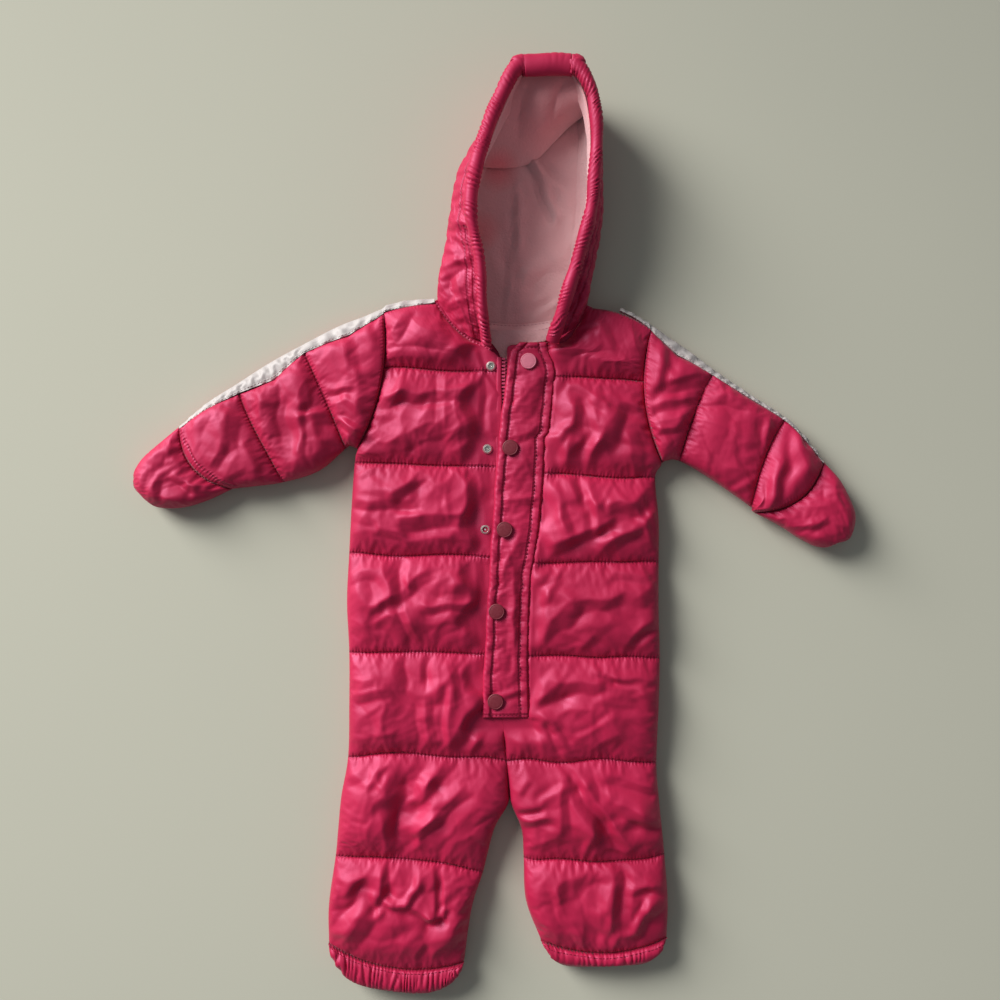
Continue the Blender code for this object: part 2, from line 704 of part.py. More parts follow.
def make_turned(name, profile, place, height, material):
    """A turned button: its profile from the top down, spun about Z."""
    mesh = bpy.data.meshes.new(name)
    bm = bmesh.new()
    verts = [bm.verts.new((radius * MM, 0, z * MM)) for radius, z in profile]
    for first, second in zip(verts, verts[1:]):
        bm.edges.new((first, second))
    bm.to_mesh(mesh)
    bm.free()
    button = add_object(name, mesh, material)
    button.location = (place[0] * MM, place[1] * MM, height * MM)
    screw = button.modifiers.new("turn", "SCREW")
    screw.steps = BUTTON_SIDES
    screw.render_steps = BUTTON_SIDES
    screw.use_merge_vertices = True
    screw.merge_threshold = 0.00001
    return button


def make_zip():
    """The zip chain in the gap between the two fronts."""
    def surface(height):
        def spot(column, row):
            y = ZIP_ENDS[0] + (ZIP_ENDS[1] - ZIP_ENDS[0]) * row / ZIP_ROWS
            x, _half_gap = table_at(CENTRE_FRONT, y)
            return x + (column * 2 - 1) * ZIP_HALF, y, height
        return spot

    make_wall("zip_chain", ZIP, 1, ZIP_ROWS, surface(ZIP_HEIGHTS[1]), surface(ZIP_HEIGHTS[0]))


def hood_section(row):
    """Nine points of one section of the hood, from rim to rim under the back."""
    middle_x = (row.side_l_x + row.side_r_x) / 2
    points = []
    for rim, side_point, outward in (
        ((row.rim_l_x, row.rim_l_y), (row.side_l_x, row.side_l_y), -1),
        ((row.rim_r_x, row.rim_r_y), (row.side_r_x, row.side_r_y), 1),
    ):
        cheek = (
            (rim[0] + side_point[0]) / 2 + outward * row.cheek,
            (rim[1] + side_point[1]) / 2 - row.cheek,
            (row.rim_z + row.side_z + row.cheek) / 2,
        )
        low = (
            side_point[0] + (middle_x - side_point[0]) * SIDE_FLOOR_SHARE,
            side_point[1] + (row.back_y - side_point[1]) * SIDE_BACK_SHARE,
            row.back_z,
        )
        points.append([
            (rim[0], rim[1], row.rim_z),
            cheek,
            (side_point[0], side_point[1], row.side_z),
            low,
        ])
    middle = (middle_x, row.back_y, row.back_z)
    return points[0] + [middle] + points[1][::-1]


def hood_outer(s, t):
    """Outer surface of the hood: s from neck to crown, t from rim to rim."""
    lines = [hood_section(row) for row in HOOD]
    section = [smooth_at([line[index] for line in lines], s) for index in range(9)]
    x, y, z = smooth_at(section, t)
    return Vector((x, y, max(z, 0.0)))


def hood_at(s, t, inward):
    """A point of the hood, moved from its outer surface towards the hollow.

    At the rim and the crown the direction is that of the wall just inside them. The
    layers are pressed thinner where the neck seam folds them together.
    """
    step = 0.05
    s_inner = min(max(s, step), CROWN_INSIDE)
    t_inner = min(max(t, RIM_INSIDE), 8 - RIM_INSIDE)
    along = hood_outer(s_inner + step, t_inner) - hood_outer(s_inner - step, t_inner)
    across = hood_outer(s_inner, t_inner + step) - hood_outer(s_inner, t_inner - step)
    inward *= NECK_THIN + (1 - NECK_THIN) * min(s, 1)
    return hood_outer(s, t) + across.cross(along).normalized() * inward


def make_hood_panel(name, material, across, along, outer, inner):
    """A piece of the hood between two depths of its wall."""
    def surface(depth):
        def spot(column, row):
            point = hood_at(along[row], across[column], depth)
            return point.x, point.y, max(point.z, 0.0)
        return spot

    return make_wall(name, material, len(across) - 1, len(along) - 1, surface(inner), surface(outer))


def rim_point(position):
    """Centre of the rim's casing and the rim's direction at a fractional point."""
    last = len(HOOD) - 1
    line = [tuple(hood_outer(s, 0)) for s in range(last + 1)]
    line += [tuple(hood_outer(s, 8)) for s in range(last, -1, -1)]
    step = 0.02
    end = len(line) - 1
    spot = Vector(smooth_at(line, position))
    before = Vector(smooth_at(line, max(position - step, 0)))
    after = Vector(smooth_at(line, min(position + step, end)))
    along = (after - before).normalized()
    up = Vector((0, 0, 1))
    rise = (up - along * along.dot(up)).normalized()
    return spot + rise * (RIM_RADIUS + 2 * LAYER_GAP), along


def make_casing(name, positions, joint_start, joint_end, gathers=0.0):
    """A padded casing along the rim, straight where it meets the next one."""
    points = [rim_point(position)[0] for position in positions]
    if joint_start is not None:
        joint, along = rim_point(joint_start)
        points = [joint + along * SEAM, joint + along * RIM_STRAIGHT] + points
    if joint_end is not None:
        joint, along = rim_point(joint_end)
        points = points + [joint - along * RIM_STRAIGHT, joint - along * SEAM]
    curve = bpy.data.curves.new(name, "CURVE")
    curve.dimensions = "3D"
    curve.bevel_depth = RIM_RADIUS * MM
    curve.bevel_resolution = 2
    curve.use_fill_caps = True
    spline = curve.splines.new("POLY")
    spline.points.add(len(points) - 1)
    for index, (node, point) in enumerate(zip(spline.points, points)):
        node.co = (*(point * MM), 1.0)
        gathered = index % 2 and index < gathers * len(points)
        node.radius = RIM_PINCH if gathered else 1.0
    curve.materials.append(SHELL)
    COLLECTION.objects.link(bpy.data.objects.new(name, curve))


def spread(first, last, count):
    """Evenly spaced values from first to last."""
    return [first + (last - first) * index / count for index in range(count + 1)]


def make_hood():
    left_side = [8 - t for t in reversed(HOOD_SIDE_STEPS)]
    right_side = list(HOOD_SIDE_STEPS)
    centre = list(HOOD_CENTRE_STEPS)
    lining = right_side + centre[1:-1] + left_side
    right_side[-1] -= HOOD_SEAM
    left_side[0] += HOOD_SEAM
    centre[0] += HOOD_SEAM
    centre[-1] -= HOOD_SEAM
    make_hood_panel("hood_right_side", SHELL, right_side, HOOD_STEPS, 0, HOOD_WALL)
    make_hood_panel("hood_centre", SHELL, centre, HOOD_STEPS, 0, HOOD_WALL)
    make_hood_panel("hood_left_side", SHELL, left_side, HOOD_STEPS, 0, HOOD_WALL)
    lining_out = HOOD_WALL + 2 * LAYER_GAP
    lining_in = lining_out + LINING_WALL
    make_hood_panel("hood_lining", FLEECE, lining, HOOD_STEPS, lining_out, lining_in)
    strip_out = lining_in + LAYER_GAP
    make_hood_panel("neck_strip", FLEECE, centre, NECK_STRIP_STEPS, strip_out, strip_out + STRIP_WALL)
    first, second = RIM_JOINTS
    start, end = RIM_ENDS
    right_run, top_run, left_run = RIM_RUNS
    right = spread(start, first - RIM_BEND, right_run)
    top = spread(first + RIM_TOP_BEND, second - RIM_TOP_BEND, top_run)
    make_casing("hood_rim_right", right, None, first, RIM_GATHERS)
    make_casing("hood_rim_top", top, first, second)
    make_casing("hood_rim_left", spread(second + RIM_BEND, end, left_run), second, None)


def make_neck_facing():
    """Lining seen at the back of the neck, lying on the back panels."""
    def surface(height):
        def spot(column, row):
            y, left, right = NECK_FACING[row]
            return left + (right - left) * column / FACING_COLUMNS, y, height
        return spot

    low = BACK_TOP + LAYER_GAP
    sides = (surface(low + STRIP_WALL), surface(low))
    make_wall("neck_facing", FLEECE, FACING_COLUMNS, len(NECK_FACING) - 1, *sides)


def back_row(row, side):
    """A back's row: full wall at the inner seams, thin at the outer seams."""
    inner = EDGE_WALL if row.left_y < LEGS_PART else BACK_TOP
    outer = EDGE_WALL if row.left_y < UNDERARM else BACK_TOP
    ends = (outer, inner) if side < 0 else (inner, outer)
    return row._replace(left_edge=ends[0], right_edge=ends[1])


def make_half(name, side, rows, neck, armhole, hem_edge):
    """Front, back and hems of one half of the body; side is -1 for the wearer's right."""
    lines = {
        ARM: lambda y: armhole_x(armhole, y) - side * SEAM,
        CENTRE: lambda y: centre_x(y, side),
    }
    front = Panel(rows, CHANNEL_STEPS, lines, neck=True)
    make_front(
        name + "_front", front, TORSO_COLUMNS, TORSO_WIDTH, TORSO_PUFF, EDGE_ROLL, placket=True
    )
    back_rows = [back_row(row, side) for row in neck + rows[len(neck) + 1:]]
    back = Panel(back_rows, BACK_STEPS, lines, neck=True)
    make_back(name + "_back", back, BACK_COLUMNS, TORSO_WIDTH, BACK_ROLL)
    make_hem(name + "_hem_front", front.rows[-1], hem_edge, True)
    make_hem(name + "_hem_back", back.rows[-1], hem_edge, False)


def make_snaps():
    flap_top = PLACKET_TOP + LAYER_GAP + FLAP_WALL
    for index, place in enumerate(SNAP_CAPS):
        make_turned("snap_cap_%d" % (index + 1), CAP_PROFILE, place, flap_top + 2 * LAYER_GAP, SNAP)
    for index, place in enumerate(SNAP_SOCKETS):
        make_turned("snap_socket_%d" % (index + 1), SOCKET_PROFILE, place,
                    PLACKET_TOP + LAYER_GAP, METAL)


for old in list(bpy.data.objects):
    bpy.data.objects.remove(old, do_unlink=True)

COLLECTION = bpy.data.collections.new("baby_snowsuit")
bpy.context.scene.collection.children.link(COLLECTION)

SHELL = make_material("satin_shell", (0.62, 0.04, 0.14), 0.38)
FLEECE = make_material("pale_fleece", (0.70, 0.36, 0.43), 0.95)
BAND = make_material("white_band", (0.84, 0.78, 0.78), 0.5)
SNAP = make_material("snap_enamel", (0.50, 0.07, 0.16), 0.5)
METAL = make_material("snap_metal", (0.62, 0.60, 0.60), 0.3, 1.0)
ZIP = make_material("zip_teeth", (0.60, 0.06, 0.16), 0.45)

make_half("right", -1, RIGHT_FRONT, RIGHT_BACK_NECK, RIGHT_ARMHOLE, RIGHT_HEM_EDGE)
make_half("left", 1, LEFT_FRONT, LEFT_BACK_NECK, LEFT_ARMHOLE, LEFT_HEM_EDGE)
make_flap()
make_zip()
make_snaps()
make_sleeve("right", -1, RIGHT_SLEEVE, RIGHT_MITT, RIGHT_SHOULDER_BAND)
make_sleeve("left", 1, LEFT_SLEEVE, LEFT_MITT, LEFT_SHOULDER_BAND)
make_hood()
make_neck_facing()
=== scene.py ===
"""Looks of the baby snowsuit, laid flat on its back.

Sizes and tables are in millimetres and repeat the part's own; meshes are in metres. Each
quilted panel starts as a fine grid on its solid's outer surface. Its cloth is cut a little
larger than that surface, held at the stitches, and settled until it lies in wrinkles.
"""
import math
from collections import namedtuple

import bpy
import numpy as np
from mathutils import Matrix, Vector


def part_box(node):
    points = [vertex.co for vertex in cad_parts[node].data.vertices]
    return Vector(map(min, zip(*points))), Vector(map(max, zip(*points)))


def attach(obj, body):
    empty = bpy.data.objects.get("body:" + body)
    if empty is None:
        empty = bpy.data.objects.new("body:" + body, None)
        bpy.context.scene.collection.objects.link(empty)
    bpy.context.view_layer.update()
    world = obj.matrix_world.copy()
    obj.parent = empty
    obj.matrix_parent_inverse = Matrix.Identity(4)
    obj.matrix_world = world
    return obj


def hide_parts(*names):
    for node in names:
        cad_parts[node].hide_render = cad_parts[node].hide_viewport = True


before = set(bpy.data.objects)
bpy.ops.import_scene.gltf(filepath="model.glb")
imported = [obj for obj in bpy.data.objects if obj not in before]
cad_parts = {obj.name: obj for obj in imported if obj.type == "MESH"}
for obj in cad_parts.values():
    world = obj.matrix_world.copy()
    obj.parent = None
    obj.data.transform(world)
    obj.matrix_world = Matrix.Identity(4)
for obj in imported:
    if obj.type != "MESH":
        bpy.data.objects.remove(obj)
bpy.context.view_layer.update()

MM = 0.001
BODY = "root"

# Layers of the garment, from the surface that it lies on.
BACK_TOP = 11.0
LAYER_GAP = 0.4
FRONT_BASE = BACK_TOP + LAYER_GAP
HOLLOW_RISE = 2.6        # how far the inside of a front rises between its sides
PLACKET_TOP = 20.0       # where the fronts are pressed under and beside the flap

# Thickness of the padded walls.
STITCH_WALL = 4.8
EDGE_WALL = 1.2
SEAM_WALL = 6.0
TORSO_PUFF = 10.4        # what a channel's middle adds to the wall at its stitches
SLEEVE_PUFF = 9.4
MITT_PUFF = 8.6
HEM_PUFF = 9.0           # full thickness of a front's hem
PUFF_SQUARENESS = 2.4
PUFF_STEEPNESS = 0.85
GROOVE = 2.4             # depth of a back's quilted lines
EDGE_ROLL = 20.0         # breadth over which a wall rounds down to its edge
BACK_ROLL = 18.0
BACK_SLACK = 0.02        # how much larger a back's cloth is cut than its surface
BACK_GATHER = 0.05       # and how much more at its stitched lines
SLEEVE_ROLL = 16.0
HEM_GATHER = 1.5
HOOD_WALL = 3.6
LINING_WALL = 1.6
STRIP_WALL = 1.6
RIM_RADIUS = 6.5

# Gaps between pieces, and how far the pieces swell or rise beside them.
SEAM = 0.03
ARMHOLE_GAP = 0.25
ARMHOLE_LIFT = 4.0
ARMHOLE_FADE = 12.0
MITT_GAP = 0.1
CUFF_RISE = 0.9
CUFF_PITCH = 3.4
RIGHT_CUFF = 10.0
LEFT_CUFF = 4.5
PRESSED_LEFT = -13.0     # x of the left side of the part that is pressed under the flap
PRESSED_RIGHT = 1.0      # how far it reaches past the flap's right edge, and below its end
PRESSED_BELOW = 8.0
PLACKET_FADE = 15.0      # breadth over which the cloth swells up again around it
FLAP_FLUSH = 2.3         # how far the left front swells beside the flap

LEGS_PART = -250         # y below which a back's inner edge is a leg's
UNDERARM = 66            # y below which its outer edge is free of the sleeve

# Rows run across a panel, from its left edge to its right one.
Row = namedtuple("Row", "left_x left_y right_x right_y bow stitched left_edge right_edge")
Armhole = namedtuple("Armhole", "top_x top_y bottom_x bottom_y bow")
RIGHT_ARMHOLE = Armhole(-98, 195, -121, 74, 10.0)
LEFT_ARMHOLE = Armhole(139, 180, 149, 62, -11.5)

# The centre front line: y, x, and half of the gap between the fronts.
CENTRE_FRONT = (
    (162, 9.0, 2.3),
    (56, 8.0, 2.3),
    (-60, 6.5, 2.3),
    (-155, 6.0, 2.3),
    (-161, 7.0, 0.06),
    (-172, 8.0, 0.06),
    (-203, 11.0, 0.06),
    (-236, 13.5, 0.06),
)
BACK_SEAM = 0.06         # half of the gap down the centre of the back
ARM = "arm"              # in a row: its end lies on the armhole, or on the centre front line
CENTRE = "centre"

RIGHT_FRONT = (
    Row(ARM, 195, -52, 203, 1, 1, 6, 5),
    Row(ARM, 181, -41, 187, 0, 0, 6, 6),
    Row(ARM, 169, -23, 171, 0, 0, 6, 6),
    Row(ARM, 157, 2, 157, 0, 0, 6, 6),
    Row(ARM, 146, CENTRE, 142, 0, 1, 6, 7),
    Row(ARM, 114, CENTRE, 115, 0, 0, 6, 7),
    Row(ARM, 76, CENTRE, 84, 0, 0, 6, 7),
    Row(-124, 62, CENTRE, 58, 0, 1, 1.2, 7),
    Row(-127, 22, CENTRE, 20, 0, 0, 1.2, 7),
    Row(-129, -18, CENTRE, -22, 0, 1, 1.2, 7),
    Row(-131, -61, CENTRE, -63, 0, 0, 1.2, 7),
    Row(-129, -106, CENTRE, -106, 0, 1, 1.2, 7),
    Row(-129, -153, CENTRE, -154, 0, 0, 1.2, 7),
    Row(-130, -199, CENTRE, -202, 5, 1, 1.2, 5),
    Row(-136, -234, CENTRE, -236, 3, 0, 1.2, 3),
    Row(-139, -265, 0, -263, 3, 0, 1.2, 1.2),
    Row(-141, -287, -10, -301, 6, 1, 1.2, 1.2),
    Row(-147, -330, -20, -333, -4, 0, 1.2, 1.2),
    Row(-147, -364, -27, -381, -12, 1, 1.2, 1.2),
)
LEFT_FRONT = (
    Row(83, 199, ARM, 180, 4, 1, 5, 6),
    Row(73, 182, ARM, 165, 0, 0, 6, 6),
    Row(58, 167, ARM, 152, 0, 0, 6, 6),
    Row(CENTRE, 164, ARM, 143, 0, 0, 7, 6),
    Row(CENTRE, 140, ARM, 134, 0, 1, 7, 6),
    Row(CENTRE, 113, ARM, 113, 0, 0, 7, 6),
    Row(CENTRE, 91, ARM, 86, 0, 0, 7, 6),
    Row(CENTRE, 72, ARM, 63, 0, 0, 7, 2),
    Row(CENTRE, 52, 143, 49, 0, 1, 7, 1.2),
    Row(CENTRE, 13, 146, 11, 0, 0, 7, 1.2),
    Row(CENTRE, -26, 146, -26, 0, 1, 7, 1.2),
    Row(CENTRE, -67, 146, -69, 0, 0, 7, 1.2),
    Row(CENTRE, -108, 147, -111, 0, 1, 7, 1.2),
    Row(CENTRE, -155, 146, -155, 0, 0, 7, 1.2),
    Row(CENTRE, -202, 144, -204, 2, 1, 5, 1.2),
    Row(CENTRE, -236, 146, -234, -2, 0, 3, 1.2),
    Row(24, -263, 149, -264, -3, 0, 1.2, 1.2),
    Row(26, -288, 151, -285, -4, 1, 1.2, 1.2),
    Row(28, -326, 154, -326, -5, 0, 1.2, 1.2),
    Row(41, -361, 153, -359, -11, 1, 1.2, 1.2),
)
RIGHT_HEM_EDGE = Row(-145, -376, -29, -389, -24, 1, 1.2, 1.2)
LEFT_HEM_EDGE = Row(45, -368, 151, -365, -18, 1, 1.2, 1.2)
RIGHT_BACK_NECK = (
    RIGHT_FRONT[0]._replace(right_edge=6),
    Row(ARM, 178, -28, 180, 0, 0, 6, 6),
    Row(ARM, 162, CENTRE, 174, 0, 0, 6, 6),
)
LEFT_BACK_NECK = (
    LEFT_FRONT[0]._replace(left_edge=6),
    Row(58, 179, ARM, 166, 0, 0, 6, 6),
    Row(CENTRE, 174, ARM, 154, 0, 0, 6, 6),
)

SleeveRow = namedtuple("SleeveRow", "top_x top_y bottom_x bottom_y bow stitched band")
RIGHT_SLEEVE = (
    SleeveRow(*RIGHT_ARMHOLE, 1, 1.5),
    SleeveRow(-132, 186, -128, 77, 5, 0, 12),
    SleeveRow(-172, 166, -132, 75, 1, 1, 8),
    SleeveRow(-201, 150, -156, 55, -1, 0, 16),
    SleeveRow(-229, 132, -187, 45, -2, 1, 9),
    SleeveRow(-254, 116, -215, 41, -7, 0, 6),
    SleeveRow(-279, 95, -233, 39, -14, 1, 2.5),
)
LEFT_SLEEVE = (
    SleeveRow(*LEFT_ARMHOLE, 1, 1.5),
    SleeveRow(166, 166, 153, 64, -8, 0, 9.5),
    SleeveRow(196, 144, 164, 64, -3, 1, 5.5),
    SleeveRow(227, 123, 189, 50, -4, 0, 4.0),
    SleeveRow(259, 102, 228, 23, -5, 1, 3.4),
    SleeveRow(276, 85, 229, 20, 4, 0, 3.2),
    SleeveRow(292, 64, 231, 18, 14, 1, 2.2),
)
RIGHT_MITT = (
    RIGHT_SLEEVE[-1]._replace(band=0),
    SleeveRow(-297, 80, -257, 28, -10, 0, 0),
    SleeveRow(-310, 68, -279, 22, -6, 0, 0),
    SleeveRow(-318, 57, -299, 23, -3, 0, 0),
    SleeveRow(-320, 49, -313, 33, -2, 1, 0),
)
LEFT_MITT = (
    LEFT_SLEEVE[-1]._replace(band=0),
    SleeveRow(305, 49, 254, 6, 9, 0, 0),
    SleeveRow(314, 33, 271, -5, 6, 0, 0),
    SleeveRow(320, 16, 289, -13, 3, 0, 0),
    SleeveRow(318, 0, 305, -9, 2, 1, 0),
)
# The bands from the neck to the armhole: outer x, y and inner x, y.
RIGHT_SHOULDER_BAND = ((-53, 208, -53, 203.6), (-80, 206, -80.2, 199.5), (-96, 202, -96.4, 195.9))
LEFT_SHOULDER_BAND = ((112, 199.7, 111.2, 196.2), (123, 195.1, 122.0, 191.4), (136, 187, 134.8, 183.2))
# Section of a band: share of its breadth from the outer edge, and height.
BAND_SECTION = ((0.0, 1.2), (0.22, 4.6), (0.6, 6.4), (1.0, 6.8))
BAND_COLUMNS = 12
BAND_START = 4.5         # how far the band stands past the armhole's top

# The placket flap: y, left edge and right edge.
FLAP = (
    (168, 22, 47),
    (160, 14.5, 48),
    (150, 12.5, 52.5),
    (142, 11, 54),
    (110, 7, 51),
    (89, 4.5, 48.5),
    (84, 4, 45),
    (47, 1, 43.5),
    (3, -2, 39.5),
    (-20, -3.5, 36),
    (-37, -4.5, 33),
    (-59, -6, 31.5),
    (-112, -9, 30),
    (-163, -11, 31),
)
FLAP_STRIP = 8.0         # from the flap's sides to the stitched lines within them
FLAP_TOP_HEM = 5.0
FLAP_END_HEM = 3.0
FLAP_MIDDLE = (2.0, 1.5)  # thickness and puff between the two stitched lines
FLAP_ROLL = (1.9, 1.7)   # of the padded roll down the left side
ROLL_PITCH = 5.4         # of its slanting puckers, and their height
ROLL_GATHER = 0.9
FLAP_BORDER = (1.7, 0.9)  # thickness and puff of the strip down the right side
PINCH_PITCH = 12.5
PINCH_DEPTH = 1.2
FLAP_FOLD_SHARE = 0.75   # of the heights in FLAP_FOLDS
SNAP_DENT = 0.7
FLAP_TOP_ROW = 4         # rows and column of the flap's grid that are stitched
FLAP_END_ROW = -3
STRIP_COLUMN = -7
# Folds of the flap, as in FOLDS.
FLAP_FOLDS = (
    (28, 110, 44, 133, 1.4, 7), (14, 117, 24, 130, -0.8, 5), (22, 84, 38, 91, 1.0, 3.5),
    (10, 31, 36, 35, -0.6, 3), (12, 22, 35, 27, 0.9, 5), (0, -37, 16, -5, -0.9, 5),
    (21, -14, 3, -58, 1.0, 6), (20, -34, 19, -93, 1.5, 3.2), (15, -58, 14, -104, -0.9, 3),
    (18, -105, 16, -121, -0.8, 2.5), (24, -137, 9, -138, -0.6, 2.5), (24, -141, 8, -145, 1.0, 3),
    (30, 60, 22, 48, 0.8, 5), (8, -8, 14, -30, 0.6, 4), (-2, -90, 10, -110, 0.7, 5),
)
# Points along a front's edge that is turned up against the hood: x, y, z.
RIGHT_NECK_SEAM = (
    (-53, 205, 15.5), (-46, 195, 15.5), (-41, 188.5, 15.5), (-32, 179.5, 16), (-23, 172.5, 16.5),
    (-10, 165, 18), (-3, 161, 19),
)
LEFT_NECK_SEAM = (
    (57, 168, 15.5), (66, 175, 15.5), (74, 183.5, 15.5), (80, 192, 15.5), (84, 200.5, 15.5),
)
# Section of the turned edge: place across it, and height.
NECK_SEAM_SECTION = ((-3.6, 0.0), (-2.8, 0.8), (-1.6, 1.2), (-0.4, 1.3), (0.8, 1.2), (1.8, 0.9), (2.6, 0.0))
# The lining behind the neck: y, left edge and right edge.
NECK_FACING = ((180, -20, 55), (169.8, -4, 45), (167, -1, 14), (161, 3.5, 12), (153, 6.5, 11))
# Middles of the snaps: x and y.
SNAP_CAPS = ((30, 151), (14, 75), (9, 3), (2, -69), (1, -148))
SNAP_SOCKETS = ((-3, 147), (-6, 74), (-8, 3))
ZIP_ENDS = (155, -132)
ZIP_HIGH = 21.0          # top of the teeth at the neck
ZIP_LOW = 19.4           # and under the flap
ZIP_DIP = 122.0          # from here up, over the length of the slope, it rises to the neck
ZIP_SLOPE = 12.0
TOOTH_PITCH = 3.1
TOOTH_HALF = 0.8         # half of a tooth's thickness along the zip
TAPE_LOW = 0.36          # height of the tape under the flap, and at the neck
TAPE_HIGH = 1.0
# The tape's section: place from the zip's line, and share of its height.
TAPE_SECTION = ((-6.8, 0.0), (-6.3, 0.8), (-5.0, 1.0), (-3.6, 1.0), (-2.5, 0.9), (-2.3, 0.5))

HoodRow = namedtuple(
    "HoodRow",
    "rim_l_x rim_l_y rim_r_x rim_r_y rim_z side_l_x side_l_y side_r_x side_r_y side_z"
    " back_y back_z cheek",
)
HOOD = (
    HoodRow(-5, 164, 51, 169, 21, -50, 206, 82, 203, 11.5, 176.5, 0, 4.0),
    HoodRow(-9, 197, 59, 195, 36, -49, 225, 83, 217, 19, 206, 0, 6.0),
    HoodRow(-11, 236, 71, 236, 43, -43, 254, 88, 248, 19, 242, 0, 7.0),
    HoodRow(-19, 271, 81, 272, 50, -38, 283, 93, 279, 21, 278, 0, 5.0),
    HoodRow(-16, 310, 85, 310, 53, -31, 318, 93, 313, 22, 313, 0, 4.0),
    HoodRow(-5, 345, 86, 344, 53, -13, 350, 92, 345, 22, 346, 0, 3.0),
    HoodRow(6, 373, 83, 371, 51, 3, 376, 87, 373, 23, 373, 0, 2.0),
    HoodRow(13, 388, 78, 386, 50, 11, 391, 81, 388, 28, 389, 3, 1.0),
    HoodRow(19, 397.5, 72, 396.5, 49, 20, 400.5, 73, 398.5, 38, 401, 24, 0.0),
    HoodRow(25, 401.5, 66, 401.5, 48, 31, 404, 60, 404, 48, 405, 48, 0.0),
)
SIDE_FLOOR_SHARE = 0.30  # where the hood's side meets the surface it lies on
SIDE_BACK_SHARE = 0.7
# The hood's surface has s from the neck to the crown and t from the right rim to the left one.
LAST_S = 9
LAST_T = 8
SIDE_SEAM = 2.9          # t of the seam beside the centre strip
HOOD_SEAM = 0.014
CROWN_INSIDE = 8.7       # s and t at which the inner layers' direction stops turning
RIM_INSIDE = 0.5
NECK_THIN = 0.55         # share of the wall that is left at the neck
HOOD_STEP = 1.25         # spacing of the points of the hood's cloth, and of its lining
LINING_STEP = 2.0
HOOD_LENGTH = 250
SIDE_BREADTH = 92
CENTRE_BREADTH = 84
LINING_BREADTH = 270
SHIRR_TOP = 3.2          # row of HOOD up to which the rim's band is gathered
LINE_TOP = 5.2           # and up to which its outer stitched line runs
CASING_LINES = (8.5, 14.0)
CASING_STEP = 0.9
CASING_SIDES = 32
RIM_SHIFT = 0.8          # how far a broader casing moves outwards
RIM_SEAT = 0.9           # how far the casing's underside sinks onto the hood's wall
# How broad the rim's casing is in plan against its height, along the rim.
RIM_BREADTH = ((0, 0.72), (2.6, 0.75), (3.6, 1.0), (7.2, 1.0), (9, 1.5), (10, 1.5), (11.6, 1.0),
               (13, 0.85), (17, 0.9), (19, 0.95))
STRIP_RISE = 12.9
STRIP_CLIMB = 0.34       # s over which the neck strip comes down from the neck seam
CROWN_BELLY = 7.0
CROWN_LOBES = 5.0
LINING_ROLL = 5.0        # how far the lining swells inside the rim
# The crown's lining, which folds down over the back: upper edge x, y, z and lower edge x, y, z.
CROWN_FOLD = (
    (15, 384, 44, -13, 325, 14),
    (24, 392, 45, 8, 325, 10.5),
    (38, 395, 46, 23, 326.5, 9.5),
    (54, 395, 46, 38, 333, 9.5),
    (68, 392, 45, 52, 347, 9.5),
    (80, 382, 44, 66, 361, 11),
    (85, 372, 44, 80, 369, 22),
)
# Points of the rim, counted from the right of the neck over the crown.
RIM_JOINTS = (9, 10)
RIM_ENDS = (0.12, 18.88)

